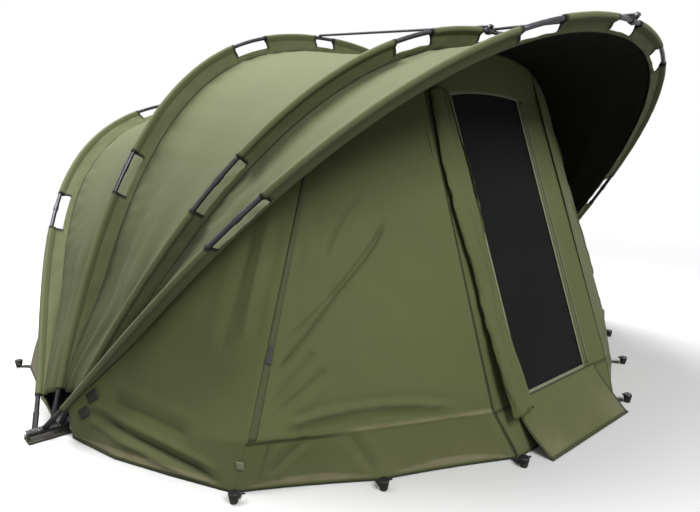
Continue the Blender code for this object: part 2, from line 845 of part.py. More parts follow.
def under_canopy(length_share, share):
    """A point just under the front bay, from the peak rib at share 0 to the third rib at 1."""
    lengths = [share_length(rib, length_share) for rib in (PEAK_RIB, THIRD_RIB)]
    below = FIT + UNDER_GAP * min(1.0, share / UNDER_GAP_RISE, (1.0 - share) / UNDER_GAP_RISE)
    first = PEAK_RIB.edge(lengths[0], 0, below)
    second = THIRD_RIB.edge(lengths[1], 0, below)
    normal = PEAK_RIB.normal(lengths[0]).lerp(THIRD_RIB.normal(lengths[1]), share)
    drawn = 4.0 * share * (1.0 - share) * BAY_SAGS[2]
    return first.lerp(second, share) - normal.normalized() * drawn


def share_length(rib, station):
    """Length at a station that needn't be a whole number."""
    low = int(math.floor(station))
    high = min(low + 1, len(rib.lengths) - 1)
    return rib.lengths[low] + (rib.lengths[high] - rib.lengths[low]) * (station - low)


def station_at_side(rib, side):
    """Station, as a decimal number, where the left half of a rib is this far out."""
    length = rib.length_at_side(side)
    return interpolate(rib.lengths, list(range(len(rib.lengths))), length)


ZIP_STATION = station_at_side(THIRD_RIB, ZIP_TOP_X + FIN_DEPTHS[2])
BAND_STATION = station_at_side(THIRD_RIB, ZIP_TOP_X + FIN_DEPTHS[2] - ZIP_BAND_WIDTH / 2.0)
DOOR_STATION = station_at_side(THIRD_RIB, DOOR_TOP_X)
THIRD_EDGE_SHARE = 0.97
WING_STATIONS = list(range(1, int(ZIP_STATION) + 1)) + [ZIP_STATION]
WING_COLUMNS = len(WING_STATIONS) - 1


def wing_share(station):
    """How far across the front bay the wing's top edge is: it starts under the peak rib's foot."""
    return THIRD_EDGE_SHARE * (station - 1.0) / (ZIP_STATION - 1.0)


def column(hem, seam, top, high_share):
    """Points of one column of the infill, from the hem over the skirt seam to the canopy."""
    points = [hem.lerp(seam, r / SKIRT_ROWS) for r in range(SKIRT_ROWS)]
    for r in range(PANEL_ROWS):
        points.append(seam.lerp(top, high_share * r / (PANEL_ROWS - 1)))
    points.append(top)
    return points


def left_columns():
    """Columns of the left wing and the left front panel, with the places of their seams."""
    wing_hem = [
        ground(HEM_START_X, HEM_START_Y),
        ground(WING_HEM_1_X, WING_HEM_1_Y),
        ground(WING_HEM_2_X, WING_HEM_2_Y),
        ground(CORNER_X, CORNER_Y),
    ]
    keys = [0.0, 1.0 / 3.0, 2.0 / 3.0, 1.0]
    corner_seam = Vector((-CORNER_SEAM_X, -CORNER_SEAM_Y, SKIRT_SEAM_Z))
    zip_top = under_canopy(ZIP_STATION, THIRD_EDGE_SHARE)
    seam_share = (SKIRT_SEAM_Z - HEM_Z) / (zip_top.z - HEM_Z)
    columns = []
    for k, station in enumerate(WING_STATIONS):
        share = (station - 1.0) / (ZIP_STATION - 1.0)
        hem = lerp_at(wing_hem, keys, share)
        top = under_canopy(station, wing_share(station))
        seam = hem.lerp(top, seam_share)
        if k == WING_COLUMNS:
            seam = corner_seam
        columns.append(column(hem, seam, top, TOP_ROW_SHARE))
    panel_hem = [
        ground(CORNER_X, CORNER_Y),
        ground(MID_PEG_X, MID_PEG_Y),
        ground(DOOR_PEG_X, DOOR_PEG_Y),
    ]
    door_seam = door_plane(-DOOR_HALF_WIDTH, SKIRT_SEAM_Z)
    band_share = ZIP_BAND_WIDTH / (door_seam - corner_seam).length
    for k in range(1, PANEL_COLUMNS + 1):
        share = band_share + (1.0 - band_share) * (k - 1) / (PANEL_COLUMNS - 1)
        hem = lerp_at(panel_hem, [0.0, MID_PEG_SHARE, 1.0], share)
        seam = corner_seam.lerp(door_seam, share)
        seam.y -= MID_SEAM_BULGE * math.sin(math.pi * share)
        across = (k - 1) / (PANEL_COLUMNS - 1)
        station = BAND_STATION + (DOOR_STATION - BAND_STATION) * across
        top = under_canopy(station, THIRD_EDGE_SHARE)
        columns.append(column(hem, seam, top, TOP_ROW_SHARE))
    return columns


def door_columns():
    """Columns between the door's left seam and the middle."""
    columns = []
    crown = (len(THIRD_RIB.lengths) - 1) / 2.0
    for share in DOOR_SHARES:
        x = -DOOR_HALF_WIDTH * (1.0 - share)
        if DOOR_SHARES.index(share) == 2:
            x = -MESH_HALF_WIDTH
        hem = ground(-x * DOOR_PEG_X / DOOR_HALF_WIDTH, DOOR_PEG_Y)
        seam = door_plane(x, SKIRT_SEAM_Z)
        top = under_canopy(DOOR_STATION + (crown - DOOR_STATION) * share, THIRD_EDGE_SHARE)
        points = [hem.lerp(seam, r / SKIRT_ROWS) for r in range(SKIRT_ROWS)]
        for r in range(PANEL_ROWS):
            height = SKIRT_SEAM_Z + (MESH_TOP_Z - SKIRT_SEAM_Z) * r / (PANEL_ROWS - 1)
            points.append(door_plane(x, height))
        points.append(top)
        columns.append(points)
    return columns


def near_line(point, start, end):
    """Distance from a point to a stretch of line."""
    run = end - start
    share = min(max((point - start).dot(run) / run.length_squared, 0.0), 1.0)
    return (point - start - run * share).length


def fold_at(point):
    """How far the cloth stands out at a point of the left side."""
    corner = Vector((-CORNER_SEAM_X, -CORNER_SEAM_Y, SKIRT_SEAM_Z))
    door = door_plane(-DOOR_HALF_WIDTH, SKIRT_SEAM_Z)
    zip_top = under_canopy(ZIP_STATION, THIRD_EDGE_SHARE)
    door_top = under_canopy(DOOR_STATION, THIRD_EDGE_SHARE)
    rise = Vector((0.0, 0.0, SKIRT_SEAM_Z / 4.0))
    steep, slant = [
        [corner.lerp(door, share).lerp(zip_top.lerp(door_top, share), height) for share, height in ends]
        for ends in (STEEP_FOLD_ENDS, SLANT_FOLD_ENDS)
    ]
    folds = (
        (*steep, FOLD_HEIGHT, FOLD_WIDTH),
        (*slant, -FOLD_HEIGHT, FOLD_WIDTH),
        (corner.lerp(door, SKIRT_ROLL_SHARE) + rise, door + rise, SKIRT_ROLL_HEIGHT, SKIRT_ROLL_WIDTH),
    )
    out = 0.0
    for start, end, height, width in folds:
        out += height * math.exp(-(near_line(point, start, end) / width) ** 2)
    return out


def dart_at(point):
    """How far the wing is drawn in along the dart over its hem."""
    start = ground(HEM_START_X, HEM_START_Y) + Vector((0.0, 0.0, SKIRT_SEAM_Z * DART_START_SHARE))
    end = ground(CORNER_X, CORNER_Y) + Vector((0.0, 0.0, SKIRT_SEAM_Z * DART_END_SHARE))
    return -DART_DEPTH * math.exp(-(near_line(point, start, end) / DART_WIDTH) ** 2)


def infill_grid():
    """All columns from the left hub to the right one, as rows, and where the seams are."""
    side = left_columns()
    door = door_columns()
    left = side[:-1] + door
    right = [[mirrored(point) for point in points] for points in reversed(left[:-1])]
    whole = left + right
    rows = [[points[r] for points in whole] for r in range(len(whole[0]))]
    normals = grid_normals(rows)
    zip_column = WING_COLUMNS
    door_column = WING_COLUMNS + PANEL_COLUMNS
    last = len(whole) - 1
    for r in range(1, len(rows) - 1):
        for c in range(1, last):
            near = min(c, last - c)
            place = rows[r][c] if c == near else mirrored(rows[r][c])
            if zip_column + 1 < near < door_column:
                rows[r][c] = rows[r][c] + normals[r][c] * fold_at(place)
            if near < zip_column:
                rows[r][c] = rows[r][c] + normals[r][c] * dart_at(place)
    normals = grid_normals(rows)
    inward = [[-normal for normal in line] for line in normals]
    ridge = len(rows) - 1
    for near, station in enumerate(WING_STATIONS):
        canopy_way = -PEAK_RIB.normal(share_length(PEAK_RIB, station))
        way = canopy_way.lerp(inward[ridge][near], near / zip_column).normalized()
        inward[ridge][near] = way
        inward[ridge][last - near] = mirrored(way)
    return rows, inward, (0, zip_column, door_column, last - door_column, last - zip_column, last)


def part_rows(rows, inward, first, last):
    """Columns first to last of the infill, drawn back a little from each seam."""
    piece = [[point.copy() for point in row[first:last + 1]] for row in rows]
    ways = [row[first:last + 1] for row in inward]
    for row in piece:
        start_way = (row[1] - row[0]).normalized()
        end_way = (row[-2] - row[-1]).normalized()
        row[0] = row[0] + start_way * SEAM_GAP / 2.0
        row[-1] = row[-1] + end_way * SEAM_GAP / 2.0
    return piece, ways


def front_pegs():
    """Hem points with pegs at the front of the left side, each with its way out."""
    corner_way, mid_way, door_way = [
        Vector((-math.sin(math.radians(turn)), -math.cos(math.radians(turn)), 0.0))
        for turn in (CORNER_PEG_TURN_DEG, MID_PEG_TURN_DEG, DOOR_PEG_TURN_DEG)
    ]
    inset = TAB_HALF_WIDTH + TAB_HALF_WIDTH / 2.0
    along = (ground(MID_PEG_X, MID_PEG_Y) - ground(CORNER_X, CORNER_Y)).normalized()
    back = (ground(MID_PEG_X, MID_PEG_Y) - ground(DOOR_PEG_X, DOOR_PEG_Y)).normalized()
    return [
        (ground(CORNER_X, CORNER_Y) + along * inset, corner_way),
        (ground(MID_PEG_X, MID_PEG_Y), mid_way),
        (ground(DOOR_PEG_X, DOOR_PEG_Y) + back * inset, door_way),
    ]


def make_infill(parent):
    rows, inward, seams = infill_grid()
    names = ("wing_left", "front_panel_left", None, "front_panel_right", "wing_right")
    for k, name in enumerate(names):
        if name is None:
            continue
        piece, ways = part_rows(rows, inward, seams[k], seams[k + 1])
        panel = add(name, sheet(piece, ways, CLOTH), INFILL_CLOTH, parent)
        if name.startswith("front"):
            pegs = front_pegs()
            if name.endswith("right"):
                pegs = [(mirrored(spot), mirrored(way)) for spot, way in pegs]
            tabs = [peg_tab(spot, way) for spot, way in pegs]
            combine(panel, "UNION", name + "_tabs", merge(*tabs), parent)
    make_door(rows, inward, seams, parent)
    make_zips(rows, seams, parent)


def make_door(rows, inward, seams, parent):
    piece, ways = part_rows(rows, inward, seams[2], seams[3])
    shape = bmesh.new()
    outer = [[shape.verts.new(point) for point in row] for row in piece]
    inner = [
        [shape.verts.new(point + way * CLOTH) for point, way in zip(row, line)]
        for row, line in zip(piece, ways)
    ]
    columns = len(piece[0]) - 1
    opening = range(2, columns - 2)
    heights = range(SKIRT_ROWS, SKIRT_ROWS + PANEL_ROWS - 1)

    def kept(row, place):
        return not (row in heights and place in opening)

    add_sheet_faces(shape, outer, inner, kept)
    add("door_surround", shape, INFILL_CLOTH, parent)

    normal = door_normal()
    behind = -normal * (CLOTH + FIT)
    half = MESH_HALF_WIDTH + MESH_LAP
    low = SKIRT_SEAM_Z - MESH_LAP
    high = MESH_TOP_Z + MESH_LAP
    net = [
        [door_plane(side * half, z) + behind for side in (-1.0, 1.0)]
        for z in (low, high)
    ]
    add("door_mesh", sheet(net, [[-normal] * 2] * 2, MESH_CLOTH), MESH_NET, parent)

    flap = []
    for share in (0.0, 0.34, 0.67, 1.0):
        line = []
        for side in (-1.0, -0.5, 0.0, 0.5, 1.0):
            top = door_plane(side * FLAP_TOP_HALF, SKIRT_SEAM_Z) + normal * FLAP_STANDOFF
            foot = Vector((side * FLAP_FOOT_HALF, -FLAP_FOOT_Y, HEM_Z))
            sag = Vector((0.0, 0.0, -1.0)) * FOLD_HEIGHT * math.sin(math.pi * share) * abs(side)
            line.append(top.lerp(foot, share) + sag)
        flap.append(line)
    out = Vector((0.0, -SKIRT_SEAM_Z, FLAP_FOOT_Y - DOOR_SEAM_Y)).normalized()
    add("mud_flap", sheet(flap, [[out] * 5] * 4, CLOTH), INFILL_CLOTH, parent)
    make_rolled_door(normal, parent)


def door_normal():
    """The way the leaning door faces: forward and up."""
    lean = door_plane(0.0, MESH_TOP_Z) - door_plane(0.0, SKIRT_SEAM_Z)
    return Vector((1.0, 0.0, 0.0)).cross(lean).normalized()


def roll_width_share(share):
    """How wide the roll is: full between its ties, drawn in at the top and at the lower tie."""
    if share > ROLL_TIE_AT_SHARE:
        past = (share - ROLL_TIE_AT_SHARE) / (1.0 - ROLL_TIE_AT_SHARE)
        return ROLL_TIE_SHARE + (ROLL_FOOT_SHARE - ROLL_TIE_SHARE) * past
    swell = math.sin(math.pi * share / ROLL_TIE_AT_SHARE) ** 2
    return ROLL_TIE_SHARE + (1.0 - ROLL_TIE_SHARE) * swell


def make_rolled_door(normal, parent):
    """The door's cloth rolled to the left and tied there, flattened against the surround."""
    loops = []
    for k in range(ROLL_RINGS):
        share = k / (ROLL_RINGS - 1)
        z = ROLL_TOP_Z + (ROLL_FOOT_Z - ROLL_TOP_Z) * share
        bend = max(share - ROLL_BEND_AT_SHARE, 0.0) / (1.0 - ROLL_BEND_AT_SHARE)
        out = ROLL_HALF_DEPTH + ROLL_STANDOFF + bend * ROLL_FOOT_FORWARD
        centre = door_plane(-ROLL_X, z) + normal * out
        loop = []
        for turn in turns(ROLL_SIDES):
            crease = 1.0 + ROLL_CREASE_SHARE * math.cos(3.0 * turn + 2.0 * share)
            side = math.cos(turn) * ROLL_HALF_WIDTH * roll_width_share(share) * crease
            depth = max(math.sin(turn) * ROLL_HALF_DEPTH * crease, -ROLL_HALF_DEPTH)
            loop.append(centre + Vector((side, 0.0, 0.0)) + normal * depth)
        loops.append(loop)
    add("rolled_door", loops_to_solid(loops), INFILL_CLOTH, parent, True)


def zip_frame(rows, seam, share, reach_share):
    """A place on the zip band: its point, and the ways up it, across it and out of it."""
    near = [row[seam] for row in rows[SKIRT_ROWS:-1]]
    far = [row[seam + 1] for row in rows[SKIRT_ROWS:-1]]
    keys = [k / (len(near) - 1) for k in range(len(near))]
    inner = lerp_at(near, keys, share)
    outer = lerp_at(far, keys, share)
    first = near[0].lerp(far[0], reach_share)
    last = near[-1].lerp(far[-1], reach_share)
    up = (last - first).normalized()
    out = (outer - inner).cross(up).normalized()
    return inner.lerp(outer, reach_share), up, up.cross(out), out


def make_zips(rows, seams, parent):
    """Storm flaps over the corner zips, and the sliders that run on them."""
    seam = seams[1]
    steps = PANEL_ROWS - 1
    for side in ("left", "right"):
        flip = mirrored if side == "right" else Vector
        flap = []
        ways = []
        for k in range(steps + 1):
            line = []
            for reach_share in ZIP_FLAP_SHARES:
                point, up, across, out = zip_frame(rows, seam, k / steps, reach_share)
                line.append(flip(point + out * ZIP_FLAP_GAP))
            flap.append(line)
            ways.append([flip(out)] * 2)
        add("zip_flap_" + side, sheet(flap, ways, ZIP_FLAP_CLOTH), ZIP_TAPE, parent)
        make_slider(side, rows, seam, flip)


def make_slider(side, rows, seam, flip):
    """A zip slider on a narrow runner, with its puller hanging down, on an empty of its own."""
    low = rows[SKIRT_ROWS][seam].z
    high = rows[-2][seam].z
    share = (SLIDER_Z - low) / (high - low)
    middle, up, across, out = zip_frame(rows, seam, share, sum(ZIP_FLAP_SHARES) / 2.0)
    middle = middle + out * (ZIP_FLAP_GAP + ZIP_FLAP_CLOTH + SLIDER_GAP)
    slider_empty = empty("zip_run_" + side, Matrix.Translation(flip(middle)), peak_empty)
    levels = (
        (0.0, SLIDER_RUNNER), (SLIDER_RUNNER_HEIGHT, SLIDER_RUNNER),
        (SLIDER_RUNNER_HEIGHT, SLIDER_WIDTH), (SLIDER_THICK, SLIDER_WIDTH),
    )
    loops = []
    for level, width in levels:
        loop = []
        for share, half_share in SLIDER_OUTLINE_SHARES:
            point = middle - up * SLIDER_LENGTH * share + across * width * half_share + out * level
            loop.append(flip(point))
        loops.append(loop)
    add("zip_slider_" + side, loops_to_solid(loops), BLACK_PLASTIC, slider_empty)


# Hubs and knuckles

def make_hub(side_name, side):
    inner = OUTER_FOOT - FOOT_PITCH * 1.5 - HUB_LENGTH / 2.0
    outer = inner + HUB_LENGTH
    middle = (inner + outer) / 2.0
    x = Vector((1.0, 0.0, 0.0))
    y = Vector((0.0, 1.0, 0.0))
    z = Vector((0.0, 0.0, 1.0))
    plate = box(Vector((side * middle, 0.0, HUB_PLATE / 2.0)), x, y, z, (HUB_LENGTH, HUB_DEPTH, HUB_PLATE))
    name = "hub_block_" + side_name
    block = add(name, plate, BLACK_PLASTIC, base)
    cheeks = []
    for edge in (inner, outer - CHEEK):
        low = HUB_PLATE - OVERRUN
        outline = [Vector((0.0, -CHEEK_R, low)), Vector((0.0, CHEEK_R, low))]
        for k in range(9):
            turn = math.pi * k / 8
            outline.append(Vector((0.0, CHEEK_R * math.cos(turn), HUB_AXIS_Z + CHEEK_R * math.sin(turn))))
        loops = [[point + x * side * place for point in outline] for place in (edge, edge + CHEEK)]
        cheeks.append(loops_to_solid(loops))
    combine(block, "UNION", name + "_cheeks", merge(*cheeks), base)
    start = Vector((side * (inner - OVERRUN), 0.0, HUB_AXIS_Z))
    end = Vector((side * (outer + OVERRUN), 0.0, HUB_AXIS_Z))
    combine(block, "DIFFERENCE", name + "_bore", cylinder(start, end, PIN_R + FIT), base)

    pin_start = Vector((side * (inner - FIT - PIN_HEAD), 0.0, HUB_AXIS_Z))
    pin_end = Vector((side * (outer + FIT + PIN_HEAD), 0.0, HUB_AXIS_Z))
    length = (pin_end - pin_start).length
    head = PIN_HEAD / length
    profile = ((0.0, PIN_HEAD_R), (head, PIN_HEAD_R), (head, PIN_R),
               (1.0 - head, PIN_R), (1.0 - head, PIN_HEAD_R), (1.0, PIN_HEAD_R))
    add("hub_pin_" + side_name, lathe(pin_start, pin_end - pin_start, profile), PIN_STEEL, base, True)


def make_knuckle(rib, side_name, parent):
    """The black fitting at a rib's foot: an eye on the hub pin and a socket for the leg."""
    right = side_name == "right"
    turn = mirrored if right else Vector
    foot = Vector((-rib.foot, 0.0, HUB_AXIS_Z))
    half = Vector((KNUCKLE_WIDTH / 2.0, 0.0, 0.0))
    name = "%s_knuckle_%s" % (rib.name, side_name)
    eye = add(name, cylinder(turn(foot - half), turn(foot + half), EYE_R, 20), BLACK_PLASTIC, parent, True)

    seat = rib.centre(0.0)
    along = (rib.centre(rib.lengths[1]) - seat).normalized()
    normal = rib.normal(0.0)
    first = seat - along * (POLE_SEAT - SOCKET_ROOT)
    mouth = seat + along * (SOCKET_MOUTH - POLE_SEAT)
    socket = knuckle_tube(rib, first, mouth, normal, SOCKET_R, turn)
    combine(eye, "UNION", name + "_socket", socket, parent)
    bore = knuckle_tube(rib, seat - along * FIT, mouth + along * OVERRUN, normal, POLE_R + FIT, turn)
    combine(eye, "DIFFERENCE", name + "_bore", bore, parent)
    reach = Vector((KNUCKLE_WIDTH / 2.0 + OVERRUN, 0.0, 0.0))
    eye_bore = cylinder(turn(foot - reach), turn(foot + reach), PIN_R + FIT, 16)
    combine(eye, "DIFFERENCE", name + "_eye_bore", eye_bore, parent)


def knuckle_tube(rib, start, end, normal, radius, turn):
    loops = []
    for centre in (start, end):
        loops.append([
            turn(centre + (normal * math.cos(angle) + rib.back * math.sin(angle)) * radius)
            for angle in turns(POLE_SIDES)
        ])
    return loops_to_solid(loops)


# Tension bars: each hangs in a bracket at the top of one rib and hooks over the rib behind it

def make_bar(number, rib, next_rib, offset, parent):
    x = Vector((1.0, 0.0, 0.0))
    across = x * offset
    length = rib.length_at_side(abs(offset))
    if offset > 0.0:
        length = rib.span - length
    crown = rib.centre(length)
    pivot = crown + rib.out * pivot_lift(rib, next_rib)
    eye_half = BAR_R + FIT
    wide = eye_half + EAR

    ring_start, ring_end = bracket_stretch(rib, offset, wide)
    bracket = add("bar_bracket_%d" % number, collar(rib, ring_start, ring_end), BLACK_PLASTIC, parent, True)
    ears = []
    for place in (-1.0, 1.0):
        outline = []
        for k in range(9):
            turn = math.pi * k / 8
            outline.append(pivot + rib.back * EAR_R * math.cos(turn) + rib.out * EAR_R * math.sin(turn))
        root = crown + rib.out * EAR_ROOT
        outline += [root - rib.back * EAR_R, root + rib.back * EAR_R]
        near = x * place * eye_half
        far = x * place * wide
        ears.append(loops_to_solid([[point + near for point in outline], [point + far for point in outline]]))
    combine(bracket, "UNION", "bar_bracket_%d_ears" % number, merge(*ears), parent)
    reach = x * (wide + OVERRUN)
    bore = cylinder(pivot - reach, pivot + reach, BAR_PIN_R + FIT, 12)
    combine(bracket, "DIFFERENCE", "bar_bracket_%d_bore" % number, bore, parent)

    bar_empty = empty("bar_%d" % number, Matrix.Translation(pivot), parent)
    pin_half = wide + FIT + BAR_PIN_HEAD
    head = BAR_PIN_HEAD / (2.0 * pin_half)
    profile = ((0.0, BAR_PIN_HEAD_R), (head, BAR_PIN_HEAD_R), (head, BAR_PIN_R),
               (1.0 - head, BAR_PIN_R), (1.0 - head, BAR_PIN_HEAD_R), (1.0, BAR_PIN_HEAD_R))
    pin = lathe(pivot - x * pin_half, x * pin_half * 2.0, profile, 12)
    add("bar_pin_%d" % number, pin, PIN_STEEL, parent, True)

    next_length = next_rib.length_at_side(abs(offset))
    target = next_rib.centre(next_length if offset < 0.0 else next_rib.span - next_length)
    route = hook_route(pivot, target)
    bar = add("tension_bar_%d" % number, bar_rod(route, x), POLE_METAL, bar_empty, True)
    eye = cylinder(pivot - x * BAR_R, pivot + x * BAR_R, BAR_EYE_R, 16)
    combine(bar, "UNION", "tension_bar_%d_eye" % number, eye, bar_empty)
    reach = x * (BAR_R + OVERRUN)
    bore = cylinder(pivot - reach, pivot + reach, BAR_PIN_R + FIT, 12)
    combine(bar, "DIFFERENCE", "tension_bar_%d_bore" % number, bore, bar_empty)


def bracket_stretch(rib, offset, wide):
    """Lengths along the pole where a bracket's collar starts and ends."""
    ends = []
    for side in (offset - wide, offset + wide):
        length = rib.length_at_side(abs(side))
        ends.append(length if side < 0.0 else rib.span - length)
    return ends


def collar(rib, start, end):
    """A closed ring of square section round a pole."""
    loops = [
        rib.ring(start, POLE_R + FIT),
        rib.ring(end, POLE_R + FIT),
        rib.ring(end, BRACKET_R),
        rib.ring(start, BRACKET_R),
    ]
    return loops_to_solid(loops, closed_ring=True)


def hook_route(pivot, target):
    """The bar's middle line: straight over the next pole, then down behind it."""
    radius = POLE_R + BAR_R + HOOK_GAP
    flat = target - pivot
    flat.x = 0.0
    reach = flat.length
    lift = math.asin(radius / reach)
    direction = math.atan2(flat.z, flat.y) + lift
    along = Vector((0.0, math.cos(direction), math.sin(direction)))
    upward = Vector((0.0, -math.sin(direction), math.cos(direction)))
    centre = pivot + flat
    route = [pivot + along * BAR_EYE_R * 0.5]
    for k in range(7):
        turn = math.radians(HOOK_WRAP_DEG) * k / 6
        route.append(centre + (upward * math.cos(turn) + along * math.sin(turn)) * radius)
    return route


def bar_rod(route, across):
    """A round rod whose bends stay in one upright plane."""
    loops = []
    for k, point in enumerate(route):
        before = (point - route[max(k - 1, 0)]).normalized()
        after = (route[min(k + 1, len(route) - 1)] - point).normalized()
        along = (before + after).normalized()
        other = along.cross(across).normalized()
        loops.append([
            point + (across * math.cos(turn) + other * math.sin(turn)) * BAR_R
            for turn in turns(8)
        ])
    return loops_to_solid(loops)


# Assembly

for rib, rib_empty in zip(RIBS, rib_empties):
    make_poles(rib, rib_empty)
    make_sleeve(rib, rib_empty)
    for side_name in ("left", "right"):
        make_knuckle(rib, side_name, rib_empty)

make_bay(1, REAR_RIB, SECOND_RIB, rib_empties[0])
make_bay(2, SECOND_RIB, THIRD_RIB, rib_empties[1])
make_bay(3, THIRD_RIB, PEAK_RIB, rib_empties[2])
make_rear_panel(base)
make_infill(peak_empty)
make_hub("left", -1.0)
make_hub("right", 1.0)
make_bar(1, THIRD_RIB, SECOND_RIB, -BAR_OFFSET, rib_empties[2])
make_bar(2, PEAK_RIB, THIRD_RIB, BAR_OFFSET, peak_empty)

peg_spots = list(zip(("corner", "side", "door"), front_pegs()))
for place, (spot, way) in peg_spots:
    make_peg("peg_%s_left" % place, spot, way)
    make_peg("peg_%s_right" % place, mirrored(spot), mirrored(way))
for name, (spot, way) in zip(("peg_rear_corner_left", "peg_rear_left", "peg_rear_corner_right",
                              "peg_rear_right"), rear_pegs()):
    make_peg(name, spot, way)
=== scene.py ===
# %% [markdown]
# # A bivvy tent
# This lesson dresses a packed tent frame so that it looks like the real thing.
# The frame holds the hard parts (poles, hubs, pegs, tension bars) and plain solids for the cloth.
# Every cloth piece is made again here as a thin sheet with seams, hems and folds, and then it is
# told which rib it moves with. X runs across the tent, -Y is the front and Z is up.

# %% Load the frame
import json
import math

